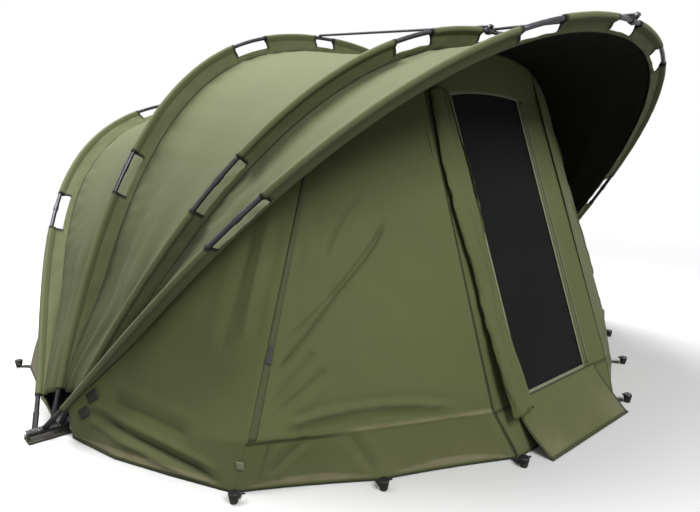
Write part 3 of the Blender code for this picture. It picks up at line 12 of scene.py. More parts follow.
import bmesh
import bpy
import numpy as np
from mathutils import Vector
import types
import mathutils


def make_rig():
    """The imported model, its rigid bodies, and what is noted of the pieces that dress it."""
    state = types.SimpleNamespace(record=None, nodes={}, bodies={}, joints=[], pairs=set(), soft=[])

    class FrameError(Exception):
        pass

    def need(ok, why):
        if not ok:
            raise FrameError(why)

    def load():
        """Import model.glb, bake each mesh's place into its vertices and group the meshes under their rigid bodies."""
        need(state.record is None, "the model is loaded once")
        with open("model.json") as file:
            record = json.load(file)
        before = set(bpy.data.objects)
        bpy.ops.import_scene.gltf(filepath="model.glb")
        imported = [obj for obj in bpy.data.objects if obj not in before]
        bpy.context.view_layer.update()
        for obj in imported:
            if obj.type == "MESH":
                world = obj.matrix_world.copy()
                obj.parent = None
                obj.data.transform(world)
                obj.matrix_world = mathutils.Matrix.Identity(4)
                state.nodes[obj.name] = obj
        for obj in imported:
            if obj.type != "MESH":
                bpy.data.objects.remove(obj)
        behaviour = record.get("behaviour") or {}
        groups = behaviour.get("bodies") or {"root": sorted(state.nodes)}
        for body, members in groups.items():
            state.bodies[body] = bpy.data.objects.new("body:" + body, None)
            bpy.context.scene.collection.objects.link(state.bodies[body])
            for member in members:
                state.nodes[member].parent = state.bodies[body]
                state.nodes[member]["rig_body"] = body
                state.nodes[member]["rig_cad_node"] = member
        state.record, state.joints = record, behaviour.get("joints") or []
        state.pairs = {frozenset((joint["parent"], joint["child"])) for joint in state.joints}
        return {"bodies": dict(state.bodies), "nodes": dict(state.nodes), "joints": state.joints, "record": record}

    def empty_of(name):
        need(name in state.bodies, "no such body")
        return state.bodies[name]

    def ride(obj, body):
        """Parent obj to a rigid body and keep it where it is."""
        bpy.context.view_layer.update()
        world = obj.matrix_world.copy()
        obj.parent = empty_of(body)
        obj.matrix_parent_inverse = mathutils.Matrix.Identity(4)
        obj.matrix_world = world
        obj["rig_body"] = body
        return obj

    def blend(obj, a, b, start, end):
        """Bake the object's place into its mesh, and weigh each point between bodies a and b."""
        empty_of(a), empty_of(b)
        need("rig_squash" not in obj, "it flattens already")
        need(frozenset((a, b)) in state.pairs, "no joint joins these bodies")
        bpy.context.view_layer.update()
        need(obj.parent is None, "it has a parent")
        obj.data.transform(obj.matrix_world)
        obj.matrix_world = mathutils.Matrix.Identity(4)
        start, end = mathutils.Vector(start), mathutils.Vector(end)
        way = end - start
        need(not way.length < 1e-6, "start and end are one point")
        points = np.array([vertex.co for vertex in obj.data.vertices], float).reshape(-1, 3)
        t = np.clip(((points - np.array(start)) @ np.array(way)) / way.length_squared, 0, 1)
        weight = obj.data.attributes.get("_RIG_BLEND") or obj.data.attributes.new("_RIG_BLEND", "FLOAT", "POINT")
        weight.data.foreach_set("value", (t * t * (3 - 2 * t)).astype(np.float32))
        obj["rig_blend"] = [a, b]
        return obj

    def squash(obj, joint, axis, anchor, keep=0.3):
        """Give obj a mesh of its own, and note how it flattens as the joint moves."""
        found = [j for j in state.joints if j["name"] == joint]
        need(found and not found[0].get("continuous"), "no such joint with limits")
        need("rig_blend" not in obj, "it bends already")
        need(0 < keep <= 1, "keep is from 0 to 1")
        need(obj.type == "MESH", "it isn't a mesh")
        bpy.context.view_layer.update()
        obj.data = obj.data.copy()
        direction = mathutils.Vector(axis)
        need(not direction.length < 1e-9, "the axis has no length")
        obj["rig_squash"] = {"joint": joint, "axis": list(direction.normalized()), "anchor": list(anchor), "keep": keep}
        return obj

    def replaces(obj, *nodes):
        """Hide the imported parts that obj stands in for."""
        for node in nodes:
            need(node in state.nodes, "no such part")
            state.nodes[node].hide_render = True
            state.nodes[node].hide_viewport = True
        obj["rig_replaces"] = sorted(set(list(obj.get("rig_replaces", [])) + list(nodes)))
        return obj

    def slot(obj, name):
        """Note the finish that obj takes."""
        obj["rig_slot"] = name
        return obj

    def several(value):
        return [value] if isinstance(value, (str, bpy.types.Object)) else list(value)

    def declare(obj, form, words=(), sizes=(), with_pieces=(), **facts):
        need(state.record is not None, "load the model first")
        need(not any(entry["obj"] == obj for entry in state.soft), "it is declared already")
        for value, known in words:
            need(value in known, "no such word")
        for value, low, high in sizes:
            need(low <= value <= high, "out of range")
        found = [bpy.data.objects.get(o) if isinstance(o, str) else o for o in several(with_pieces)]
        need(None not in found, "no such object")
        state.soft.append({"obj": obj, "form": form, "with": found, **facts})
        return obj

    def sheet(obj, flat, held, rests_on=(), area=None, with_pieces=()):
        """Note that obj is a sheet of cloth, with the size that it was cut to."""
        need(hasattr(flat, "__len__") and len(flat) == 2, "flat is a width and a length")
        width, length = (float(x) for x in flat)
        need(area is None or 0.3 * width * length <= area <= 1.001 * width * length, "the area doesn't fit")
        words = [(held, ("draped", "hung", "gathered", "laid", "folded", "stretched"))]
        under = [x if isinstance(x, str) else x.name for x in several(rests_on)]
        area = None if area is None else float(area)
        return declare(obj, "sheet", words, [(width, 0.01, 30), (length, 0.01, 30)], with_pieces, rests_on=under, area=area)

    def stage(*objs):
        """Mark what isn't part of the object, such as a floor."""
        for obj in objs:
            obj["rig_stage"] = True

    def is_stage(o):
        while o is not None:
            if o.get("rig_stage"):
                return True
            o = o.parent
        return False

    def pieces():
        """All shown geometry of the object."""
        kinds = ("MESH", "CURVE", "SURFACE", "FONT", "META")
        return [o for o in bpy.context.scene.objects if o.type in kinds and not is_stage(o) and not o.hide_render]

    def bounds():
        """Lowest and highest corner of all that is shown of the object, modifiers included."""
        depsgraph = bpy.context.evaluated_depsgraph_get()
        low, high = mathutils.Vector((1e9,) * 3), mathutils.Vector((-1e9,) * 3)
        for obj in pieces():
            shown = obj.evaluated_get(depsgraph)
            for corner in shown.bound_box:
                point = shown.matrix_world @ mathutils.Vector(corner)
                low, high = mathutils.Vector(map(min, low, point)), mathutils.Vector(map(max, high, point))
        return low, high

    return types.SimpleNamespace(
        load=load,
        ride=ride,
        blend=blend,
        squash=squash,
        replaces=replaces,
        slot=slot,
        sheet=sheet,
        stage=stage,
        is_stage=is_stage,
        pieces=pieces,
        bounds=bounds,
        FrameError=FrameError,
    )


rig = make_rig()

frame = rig.load()
cad_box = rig.bounds()
print("bodies:", ", ".join(sorted(frame["bodies"])))


def add_object(name, data):
    made = bpy.data.objects.new(name, data)
    bpy.context.scene.collection.objects.link(made)
    return made


# %% [markdown]
# The camera stands a little over a metre high at the front left corner and looks slightly down.
# Its place and its lens were worked out from the photograph: the arcs of the four ribs and the
# pegs on both sides only line up from one spot.

# %% Camera
EYE = Vector((-2.0464, -2.2699, 1.0356))
LOOK_AZIMUTH = math.radians(48.075)
LOOK_DOWN = math.radians(10.032)
FOCAL_SHARE = 599.0 / 700.0

look = Vector((
    math.cos(LOOK_AZIMUTH) * math.cos(LOOK_DOWN),
    math.sin(LOOK_AZIMUTH) * math.cos(LOOK_DOWN),
    -math.sin(LOOK_DOWN),
))
lens = bpy.data.cameras.new("camera")
lens.sensor_fit = "HORIZONTAL"
lens.sensor_width = 36.0
lens.lens = lens.sensor_width * FOCAL_SHARE
lens.clip_end = 200.0
camera = add_object("camera", lens)
camera.location = EYE
camera.rotation_euler = look.to_track_quat("-Z", "Y").to_euler()
bpy.context.scene.camera = camera
print("lens %.1f mm" % lens.lens)

# %% [markdown]
# Tent cloth is matt, so it shows its shape through broad light. One large soft lamp hangs above
# and a little behind the tent, as an open sky does, and a weaker one fills the front.

# %% Light and view settings
bpy.context.scene.view_settings.view_transform = "Standard"


def soft_lamp(name, place, aim, size, power):
    """A square lamp at a place, turned towards a point."""
    light = bpy.data.lights.new(name, "AREA")
    light.shape = "SQUARE"
    light.size = size
    light.energy = power
    lamp = add_object(name, light)
    lamp.location = place
    lamp.rotation_euler = (Vector(aim) - Vector(place)).to_track_quat("-Z", "Y").to_euler()


soft_lamp("sky", (-1.2, 1.6, 6.2), (0.0, 0.0, 0.6), 4.5, 640.0)
soft_lamp("front", (-1.3, -5.8, 5.2), (0.0, -0.4, 0.7), 3.0, 370.0)
print("a wide lamp above and a weaker one in front")

# %% [markdown]
# Shader maths reads best as plain sums. `Value` wraps a socket and takes part in + and *, on either
# side of a number. `Nodes.node` adds a node from its type, its settings and its inputs, and `Finish`
# is a tree for one material.

# %% A small language for materials


class Value:
    """A shader socket that can stand in a sum."""

    def __init__(self, nodes, socket):
        self.nodes = nodes
        self.socket = socket

    def _math(self, operation, other):
        return self.nodes.node("ShaderNodeMath", {"operation": operation}, {0: self, 1: other})

    def __add__(self, other):
        return self._math("ADD", other)

    __radd__ = __add__

    def __mul__(self, other):
        return self._math("MULTIPLY", other)

    __rmul__ = __mul__

    def largest(self, other):
        return self._math("MAXIMUM", other)


class Nodes:
    """A node tree, with a short way to add to it."""

    def __init__(self, tree):
        self.tree = tree

    def node(self, kind, settings=None, inputs=None, output=0):
        made = self.tree.nodes.new(kind)
        for key, value in (settings or {}).items():
            setattr(made, key, value)
        for key, value in (inputs or {}).items():
            self.feed(made.inputs[key], value)
        return Value(self, made.outputs[output])

    def feed(self, socket, value):
        if isinstance(value, Value):
            self.tree.links.new(value.socket, socket)
        elif isinstance(value, tuple) and len(value) == 3 and socket.type == "RGBA":
            socket.default_value = (*value, 1.0)
        else:
            socket.default_value = value

    def seen_rays(self):
        """1 where the camera looks, also in reflections and through clear things, and 0 for lighting."""
        kinds = [self.node("ShaderNodeLightPath", output="Is %s Ray" % kind)
                 for kind in ("Camera", "Glossy", "Transmission")]
        return kinds[0].largest(kinds[1]).largest(kinds[2])


class Finish(Nodes):
    """A material with one Principled shader."""

    def __init__(self, name, roughness, metallic=0.0, specular=0.5):
        self.material = bpy.data.materials.new(name)
        self.material.use_nodes = True
        super().__init__(self.material.node_tree)
        self.shader = self.tree.nodes["Principled BSDF"]
        self.set("Roughness", roughness)
        self.set("Metallic", metallic)
        self.set("Specular IOR Level", specular)

    def set(self, name, value):
        self.feed(self.shader.inputs[name], value)

    def mix(self, share, first, second):
        """A colour between two others."""
        return self.node("ShaderNodeMix", {"data_type": "RGBA"}, {0: share, 6: first, 7: second}, 2)

    def spread(self, value, low, high):
        """Stretches a value so that it is 0 at the low end and 1 at the high end."""
        return self.node("ShaderNodeMapRange", {}, {"Value": value, "From Min": low, "From Max": high})

    def place(self):
        """The point in metres, as the object has it."""
        return self.node("ShaderNodeTexCoord", output=3)

    def flat(self):
        """The point in metres on the flat cloth."""
        return self.node("ShaderNodeUVMap", {"uv_map": "cloth"})

    def noise(self, scale, detail=3.0, where=None, rough=0.55):
        inputs = {"Vector": where or self.place(), "Scale": scale, "Detail": detail, "Roughness": rough}
        return self.node("ShaderNodeTexNoise", {}, inputs)

    def bands(self, where, scale, direction):
        inputs = {"Vector": where, "Scale": scale}
        return self.node("ShaderNodeTexWave", {"bands_direction": direction}, inputs)

    def threads(self, where, scale):
        """A square weave."""
        return self.bands(where, scale, "X").largest(self.bands(where, scale, "Y"))

    def tracked(self, name):
        """A number that the maker wrote on each point of the mesh."""
        return self.node("ShaderNodeAttribute", {"attribute_name": name}, output=2)

    def bump(self, height, strength, distance):
        inputs = {"Strength": strength, "Distance": distance, "Height": height}
        self.set("Normal", self.node("ShaderNodeBump", {}, inputs))


# %% [markdown]
# The canopy is coated nylon. From a step away it is matt olive with slow changes of tone where dust and weather have
# worked on it; close up there is a fine weave. Every sheet also carries marks written on its mesh: seams are darker,
# bindings are black and dust gathers low down, while painted shade darkens the creases, the low channels between the
# fins and the lower sleeves, and a painted highlight lies along the front skirt seam. The weave follows each sheet's
# own flat map in metres, so it bends with the cloth.

# %% Cloth finishes
CLOTH_WEAVE = 620.0 / 6.0
DUST_AND_HIGHLIGHT = (0.30, 0.26, 0.17)
BINDING_BLACK = (0.012, 0.013, 0.010)


def cloth_finish(name, colour, worn, seam):
    """Coated woven cloth; the marks 'seam' (seams, and painted shade), 'bind' and 'dust' (dust, and a painted
    highlight) come from the mesh.
    """
    finish = Finish(name, 0.78, specular=0.22)
    flat = finish.flat()
    slow = finish.noise(1.7, 4.0)
    patches = finish.noise(9.0, 5.0, rough=0.62)
    fine = finish.noise(150.0, 2.0, flat)
    weave = finish.threads(flat, CLOTH_WEAVE)
    tone = finish.spread(slow * 0.6 + patches * 0.4, 0.34, 0.66)
    base = finish.mix(tone * 0.55, colour, worn)
    base = finish.mix(finish.spread(fine, 0.35, 0.75) * 0.10, base, tuple(c * 1.5 for c in colour))
    # Painted light in the cloth: the dust mark also paints a pale highlight, and the seam mark also paints shade.
    dust_and_highlight = finish.mix(finish.tracked("dust") * (patches * 0.9 + 0.1), base, DUST_AND_HIGHLIGHT)
    seamed_and_shaded = finish.mix(finish.tracked("seam"), dust_and_highlight, seam)
    finish.set("Base Color", finish.mix(finish.tracked("bind"), seamed_and_shaded, BINDING_BLACK))
    finish.set("Roughness", patches * 0.16 + 0.68)
    finish.bump(weave * 0.25 + fine * 0.6 + patches * 1.4, 0.35, 0.0009)
    finish.set("Sheen Weight", 0.05)
    finish.set("Sheen Roughness", 0.5)
    return finish.material


# Both are the same cloth: the canopy cloth's slightly paler, bluer colours are painted sky light. The third colour of
# each is for its seams and its painted shade.
canopy_cloth = cloth_finish(
    "canopy cloth", (0.104, 0.114, 0.050), (0.136, 0.147, 0.074), (0.020, 0.024, 0.010))
front_cloth = cloth_finish(
    "front cloth", (0.100, 0.112, 0.042), (0.130, 0.143, 0.060), (0.018, 0.021, 0.009))
print("canopy and front cloth")

# %% [markdown]
# The inner face of the canopy is painted almost black, as painted shade, so that the space under the peak looks almost
# black. A sheet gets it as a second finish on its inner side.

# %% Lining, mesh, tape and webbing


def lining_finish():
    # Near-black cloth: painted shade on the inner face of the canopy.
    finish = Finish("lining", 0.9, specular=0.12)
    patches = finish.noise(7.0, 4.0)
    finish.set("Base Color", finish.mix(patches, (0.006, 0.008, 0.005), (0.016, 0.019, 0.012)))
    finish.set("Roughness", patches * 0.15 + 0.82)
    finish.bump(finish.noise(60.0, 3.0), 0.2, 0.001)
    return finish.material


def mesh_finish():
    """Fine black netting: a grid of threads with dark gaps, seen here from too far to see through."""
    finish = Finish("mesh net", 0.95, specular=0.10)
    threads = finish.threads(finish.flat(), 110.0)
    thread_tone = finish.mix(finish.noise(3.0, 3.0), (0.010, 0.012, 0.011), (0.022, 0.023, 0.021))
    finish.set("Base Color", finish.mix(threads, (0.003, 0.004, 0.004), thread_tone))
    finish.bump(threads, 0.6, 0.0008)
    return finish.material


def webbing_finish(name, colour, pale):
    """Ribbed tape: a close twill along the band."""
    finish = Finish(name, 0.72)
    twill = finish.bands(finish.flat(), 160.0, "DIAGONAL")
    patches = finish.noise(30.0, 3.0)
    finish.set("Base Color", finish.mix(twill * 0.5 + patches * 0.5, colour, pale))
    finish.bump(twill, 0.5, 0.0006)
    return finish.material


lining = lining_finish()
mesh_net = mesh_finish()
black_webbing = webbing_finish("black webbing", (0.010, 0.011, 0.010), (0.028, 0.029, 0.027))
pale_tape = webbing_finish("pale tape", (0.165, 0.185, 0.105), (0.235, 0.250, 0.160))
zip_cloth = webbing_finish("zip tape", (0.044, 0.054, 0.017), (0.064, 0.076, 0.028))
print("lining, mesh, webbing and tapes")

# %% [markdown]
# Hard parts: the poles are dark anodised tube, scuffed where they are pushed through the sleeves;
# hubs, pegs and brackets are moulded black plastic with a faint grain and dust low down.

# %% Finishes of the hard parts


def pole_finish():
    finish = Finish("pole", 0.34, 0.75)
    scuffs = finish.noise(55.0, 6.0, rough=0.7)
    marks = finish.spread(scuffs, 0.56, 0.74)
    finish.set("Base Color", finish.mix(marks, (0.055, 0.058, 0.066), (0.150, 0.155, 0.170)))
    finish.set("Roughness", marks * 0.25 + 0.30)
    finish.bump(scuffs, 0.12, 0.0004)
    return finish.material


def plastic_finish():
    finish = Finish("black plastic", 0.5)
    wear = finish.noise(24.0, 5.0, rough=0.7)
    marks = finish.spread(wear, 0.55, 0.80)
    height = finish.node("ShaderNodeSeparateXYZ", {}, {0: finish.place()}, 2)
    low = finish.spread(height, 0.030, 0.0)
    base = finish.mix(marks * 0.6, (0.012, 0.012, 0.013), (0.050, 0.050, 0.052))
    finish.set("Base Color", finish.mix(low * wear * 0.8, base, (0.140, 0.120, 0.085)))
    finish.set("Roughness", marks * 0.25 + 0.42)
    finish.bump(finish.noise(420.0, 3.0), 0.25, 0.0003)
    return finish.material


def steel_finish():
    finish = Finish("pin steel", 0.3, 1.0)
    brushed = finish.noise(260.0, 4.0)
    finish.set("Base Color", finish.mix(brushed, (0.42, 0.42, 0.44), (0.60, 0.60, 0.62)))
    finish.set("Roughness", brushed * 0.2 + 0.22)
    finish.bump(brushed, 0.15, 0.0002)
    return finish.material


def dress(surface, *starts):
    """Gives a finish to every frame node whose name starts this way."""
    dressed = [node for name, node in frame["nodes"].items() if name.startswith(starts)]
    for node in dressed:
        node.data.materials.clear()
        node.data.materials.append(surface)
    print("%d pieces of %s" % (len(dressed), surface.name))


pole_metal = pole_finish()
dress(pole_metal, "tension_bar")
knuckles = ["rib_%d_knuckle" % number for number in (1, 2, 3, 4)]
dress(plastic_finish(), "hub_block", *knuckles, "bar_bracket", "peg_", "zip_slider")
dress(steel_finish(), "hub_pin", "bar_pin")

# %% [markdown]
# Every rib is one flat arch in a plane through the hub axis. `Arch` draws it as a fine cubic curve
# and answers questions about it: where its middle line is, which way is outward, and how deep the
# cloth fin under its pole is. Places along it are given by `u`, 0 at the start of the sleeve on the
# left, 1 at the top and 2 at the right, so that ribs of different length can be matched.

# %% Rib arches
AXIS_Z = 0.030
SLEEVE_START = 0.140
POLE_SEAT = 0.030
FIN_START = 0.021
FIN_FULL_AT = 0.600
FIN_OVERLAP = 0.002
FIN_FACE = 0.0016


class Arch:
    """One rib: its shape in its own plane and its place in the tent."""

    def __init__(self, number, foot, height, rise, shoulder, lift, lean, fin, windows):
        self.number = number
        self.name = "rib_%d" % number
        self.foot, self.height, self.fin, self.windows = foot, height, fin, windows
        lift = math.radians(lift)
        lean = math.radians(lean)
        self.out = np.array((0.0, -math.cos(lift), math.sin(lift)))
        self.back = np.array((0.0, math.sin(lift), math.cos(lift)))
        t = np.linspace(0.0, 1.0, 801)[:, None]
        first = (foot - rise * math.sin(lean), rise * math.cos(lean))
        corners = np.array(((foot, 0.0), first, (shoulder, height), (0.0, height)))
        weights = np.hstack(((1 - t) ** 3, 3 * (1 - t) ** 2 * t, 3 * (1 - t) * t * t, t ** 3))
        half = weights @ corners
        steps = np.diff(half, axis=0)
        run = np.concatenate(([0.0], np.cumsum(np.hypot(*steps.T))))
        slope = np.unwrap(np.arctan2(steps[:, 1], steps[:, 0]))
        bend = np.concatenate(([0.0, 0.0], np.cumsum(np.abs(np.diff(slope)))))
        measure = run / run[-1] + bend / bend[-1]
        start = np.interp(SLEEVE_START, run, measure)
        u = (measure - start) / (measure[-1] - start)
        left = np.column_stack((-half[:, 0], half[:, 1]))
        right = np.column_stack((half[-2::-1, 0], half[-2::-1, 1]))
        self.flat = np.vstack((left, right))
        self.run = np.concatenate((run, 2 * run[-1] - run[-2::-1]))
        self.u = np.concatenate((u, 2.0 - u[-2::-1]))
        self.span = self.run[-1]
        way = np.gradient(self.flat, axis=0)
        way /= np.linalg.norm(way, axis=1)[:, None]
        self.side = np.column_stack((-way[:, 1], way[:, 0]))

    def lay(self, x, y):
        """Turns flat numbers into the rib's plane."""
        return x[..., None] * np.array((1.0, 0.0, 0.0)) + y[..., None] * self.out

    def middle(self, run):
        """The pole's middle line at a distance along it."""
        x = np.interp(run, self.run, self.flat[:, 0])
        y = np.interp(run, self.run, self.flat[:, 1])
        return self.lay(x, y) + np.array((0.0, 0.0, AXIS_Z))

    def outward(self, run):
        x = np.interp(run, self.run, self.side[:, 0])
        y = np.interp(run, self.run, self.side[:, 1])
        return self.lay(x, y)

    def run_at(self, u):
        return np.interp(u, self.u, self.run)

    def run_at_radius(self, radius):
        half = len(self.run) // 2
        return float(np.interp(radius, self.flat[:half + 1, 1], self.run[:half + 1]))

    def run_at_side(self, side):
        half = len(self.run) // 2
        return float(np.interp(-side, self.flat[:half + 1, 0], self.run[:half + 1]))

    def u_at_side(self, side):
        return float(np.interp(self.run_at_side(side), self.run, self.u))

    def depth(self, run):
        near = np.minimum(run, self.span - run)
        share = np.clip((near - SLEEVE_START) / (FIN_FULL_AT - SLEEVE_START), 0.0, 1.0)
        return FIN_START + (self.fin - FIN_START) * share * share * (3 - 2 * share)

    def edge(self, u, side, below=0.0):
        """Where a panel meets the fin: side is -1 in front of it, 1 behind it and 0 under its tip."""
        run = self.run_at(u)
        depth = self.depth(run)[..., None]
        if side == 0:
            return self.middle(run) - self.outward(run) * (depth + np.asarray(below)[..., None])
        return self.middle(run) - self.outward(run) * (depth - FIN_OVERLAP) + self.back * side * FIN_FACE

    def stretches(self):
        """The five windows, as distances along the rib from its left foot."""
        low, high, outer, inner, half = self.windows
        middle = self.run_at_side(half)
        cuts = [(middle, self.span - middle)]
        for start, end in (map(self.run_at_radius, (low, high)), map(self.run_at_side, (outer, inner))):
            cuts += [(start, end), (self.span - end, self.span - start)]
        return sorted(cuts)


rear_rib = Arch(1, 1.545, 1.760, 0.631, 1.270, 132.0, 20.5, 0.075, (0.898, 1.078, 0.626, 0.452, 0.060))
second_rib = Arch(2, 1.485, 1.580, 1.310, 0.665, 97.6, 16.3, 0.075, (0.853, 1.005, 0.541, 0.369, 0.056))
third_rib = Arch(3, 1.455, 1.672, 0.867, 0.911, 60.7, 16.0, 0.075, (0.929, 1.126, 0.488, 0.337, 0.062))
peak_rib = Arch(4, 1.515, 1.962, 0.522, 1.143, 46.5, 22.0, 0.060, (0.997, 1.204, 0.495, 0.350, 0.075))
arches = (rear_rib, second_rib, third_rib, peak_rib)
for arch in arches:
    windows = ", ".join("%.2f" % start for start, end in arch.stretches())
    print("%s: %.2f m from hub to hub, windows at %s" % (arch.name, arch.span, windows))

# %% [markdown]
# Most pieces of this tent are sheets, and a sheet is a grid of points bent into place. The grid
# comes from one bmesh operator. What makes it a canopy panel or a door is the rule that says
# where each point goes, so the rule is a function of two numbers, one along and one across.

# %% Bending a grid into a sheet


def lerp(first, second, share):
    return first * (1.0 - share) + second * share


def smooth(share):
    share = np.clip(share, 0.0, 1.0)
    return share * share * (3.0 - 2.0 * share)


def ripple(x, y, seed):
    """Soft random heights between -1 and 1, the same on every run."""
    table = np.random.default_rng(seed).uniform(-1.0, 1.0, (64, 64))
    x0 = np.floor(x).astype(int)
    y0 = np.floor(y).astype(int)
    fx = smooth(x - x0)
    fy = smooth(y - y0)
    low = table[y0 % 64, x0 % 64] * (1 - fx) + table[y0 % 64, (x0 + 1) % 64] * fx
    high = table[(y0 + 1) % 64, x0 % 64] * (1 - fx) + table[(y0 + 1) % 64, (x0 + 1) % 64] * fx
    return low * (1 - fy) + high * fy


def unit(vectors):
    return vectors / np.maximum(np.linalg.norm(vectors, axis=-1), 1e-9)[..., None]


def facing(points):
    """Unit normals of a grid of points, rows first."""
    return unit(np.cross(np.gradient(points, axis=1), np.gradient(points, axis=0)))


def facing_from(points, heart):
    """Unit normals of a grid, each turned away from a point inside."""
    normal = facing(points)
    return normal * np.sign(np.sum(normal * (points - np.array(heart)), axis=2))[..., None]


def flat_map(points):
    """The sheet's own map in metres: distances along its middle row and middle column."""
    rows, columns = points.shape[:2]
    along = np.linalg.norm(np.diff(points[rows // 2], axis=0), axis=1)
    across = np.linalg.norm(np.diff(points[:, columns // 2], axis=0), axis=1)
    x = np.concatenate(([0.0], np.cumsum(along)))
    y = np.concatenate(([0.0], np.cumsum(across)))
    return np.stack(np.meshgrid(x, y), axis=2)


def bent_grid(name, points, surfaces, marks=None, holes=None, closed=False, heart=None):
    """A grid whose points go where the array says; holes[row, column] leaves a cell out.

    Its faces look away from the heart, a point or a set of points inside."""
    rows, columns = points.shape[:2]
    shape = bmesh.new()
    bmesh.ops.create_grid(shape, x_segments=columns - 1, y_segments=rows - 1, size=1.0)
    shape.verts.ensure_lookup_table()
    shape.faces.ensure_lookup_table()
    mesh = bpy.data.meshes.new(name)
    shape.to_mesh(mesh)
    shape.free()
    spots = np.empty(len(mesh.vertices) * 3)
    mesh.vertices.foreach_get("co", spots)
    spots = spots.reshape(-1, 3)
    column = np.rint((spots[:, 0] + 1.0) / 2.0 * (columns - 1)).astype(int)
    row = np.rint((spots[:, 1] + 1.0) / 2.0 * (rows - 1)).astype(int)
    mesh.vertices.foreach_set("co", points[row, column].ravel())
    layer = mesh.uv_layers.new(name="cloth")
    corner = np.empty(len(mesh.loops), dtype=np.int32)
    mesh.loops.foreach_get("vertex_index", corner)
    layer.data.foreach_set("uv", flat_map(points)[row[corner], column[corner]].ravel())
    for mark in ("seam", "bind", "dust"):
        values = (marks or {}).get(mark)
        attribute = mesh.attributes.new(mark, "FLOAT", "POINT")
        if values is not None:
            attribute.data.foreach_set("value", values[row, column].astype(np.float32))
    shape = bmesh.new()
    shape.from_mesh(mesh)
    if holes is not None:
        gone = []
        for face in shape.faces:
            cell_column = min(column[vert.index] for vert in face.verts)
            cell_row = min(row[vert.index] for vert in face.verts)
            if holes[cell_row, cell_column]:
                gone.append(face)
        bmesh.ops.delete(shape, geom=gone, context="FACES")
    if closed:
        bmesh.ops.remove_doubles(shape, verts=shape.verts, dist=1e-6)
    if heart is not None and np.sum(facing(points) * (points - np.asarray(heart))) < 0.0:
        bmesh.ops.reverse_faces(shape, faces=shape.faces)
    shape.to_mesh(mesh)
    shape.free()
    for surface in surfaces:
        mesh.materials.append(surface)
    mesh.shade_smooth()
    return add_object(name, mesh)


def sheet_measures(points, near_plane=False):
    """The rectangle a sheet is cut from, shorter way first, and its area, measured on its grid."""
    if near_plane:
        spread = points.reshape(-1, 3) - points.reshape(-1, 3).mean(axis=0)
        main = np.linalg.eigh(spread.T @ spread)[1][:, 1:]
        sides = np.ptp(spread @ main, axis=0).tolist()
    else:
        up = np.linalg.norm(np.diff(points, axis=0), axis=2)
        across = np.linalg.norm(np.diff(points, axis=1), axis=2)
        sides = (float(up.sum(axis=0).max()), float(across.sum(axis=1).max()))
    first = np.cross(points[1:, :-1] - points[:-1, :-1], points[1:, 1:] - points[:-1, :-1])
    second = np.cross(points[1:, 1:] - points[:-1, :-1], points[:-1, 1:] - points[:-1, :-1])
    area = float(np.linalg.norm(first, axis=2).sum() + np.linalg.norm(second, axis=2).sum()) / 2.0
    return {"flat": (round(min(sides), 3), round(max(sides), 3)), "area": round(area, 4)}


def thicken(piece, thickness, lined=False, offset=-1.0):
    """Gives a sheet its thickness; a lined one shows its second finish inside."""
    step = piece.modifiers.new("thickness", "SOLIDIFY")
    step.thickness = thickness
    step.offset = offset
    step.use_even_offset = False
    if lined:
        step.material_offset = 1


def near_path(points, path):
    """Distance from every grid point to a chain of points, and how far along the chain that is."""
    path = np.asarray(path, float)
    best = np.full(points.shape[:-1], 1e9)
    where = np.zeros(points.shape[:-1])
    done = 0.0
    total = np.linalg.norm(np.diff(path, axis=0), axis=1).sum()
    for start, end in zip(path, path[1:]):
        run = end - start
        length = np.linalg.norm(run)
        share = np.clip(((points - start) @ run) / length ** 2, 0.0, 1.0)
        gap = np.linalg.norm(points - start - share[..., None] * run, axis=-1)
        closer = gap < best
        best = np.where(closer, gap, best)
        where = np.where(closer, (done + share * length) / total, where)
        done += length
    return best, where


def crease(points, path, height, width):
    """A fold along a path: a ridge that dies away at both ends, with a shallow hollow beside it."""
    gap, along = near_path(points, path)
    ends = smooth(along / 0.2) * smooth((1.0 - along) / 0.2)
    near = (gap / width) ** 2
    return height * ends * (1.0 - 0.5 * near) * np.exp(-near)


# %% [markdown]
# The poles are aluminium tubes. Each rib is a left leg, a crown and a right leg; the legs plug into
# the crown, which has a wider collar at each joint. The frame holds them with flat sides, so round
# tubes along the same curve take their place.

# %% Poles
POLE_R = 0.0085
COLLAR_R = 0.0102
COLLAR_LENGTH = 0.035
JOINT_GAP = 0.0004
TUBE_SIDES = 18


def tube(name, arch, runs, radii):
    """A round tube along a rib, whose radius may change on the way."""
    turn = np.linspace(0.0, math.tau, TUBE_SIDES + 1)
    turn[-1] = 0.0
    middle = arch.middle(runs)[None]
    out = arch.outward(runs)[None]
    ring = out * np.cos(turn)[:, None, None] + arch.back * np.sin(turn)[:, None, None]
    points = middle + ring * np.asarray(radii)[None, :, None]
    piece = bent_grid(name, points, [pole_metal], closed=True)
    shape = bmesh.new()
    shape.from_mesh(piece.data)
    rims = [edge for edge in shape.edges if edge.is_boundary]
    bmesh.ops.holes_fill(shape, edges=rims, sides=TUBE_SIDES)
    bmesh.ops.recalc_face_normals(shape, faces=shape.faces)
    shape.to_mesh(piece.data)
    shape.free()
    piece.data.set_sharp_from_angle(angle=math.radians(40.0))
    return piece


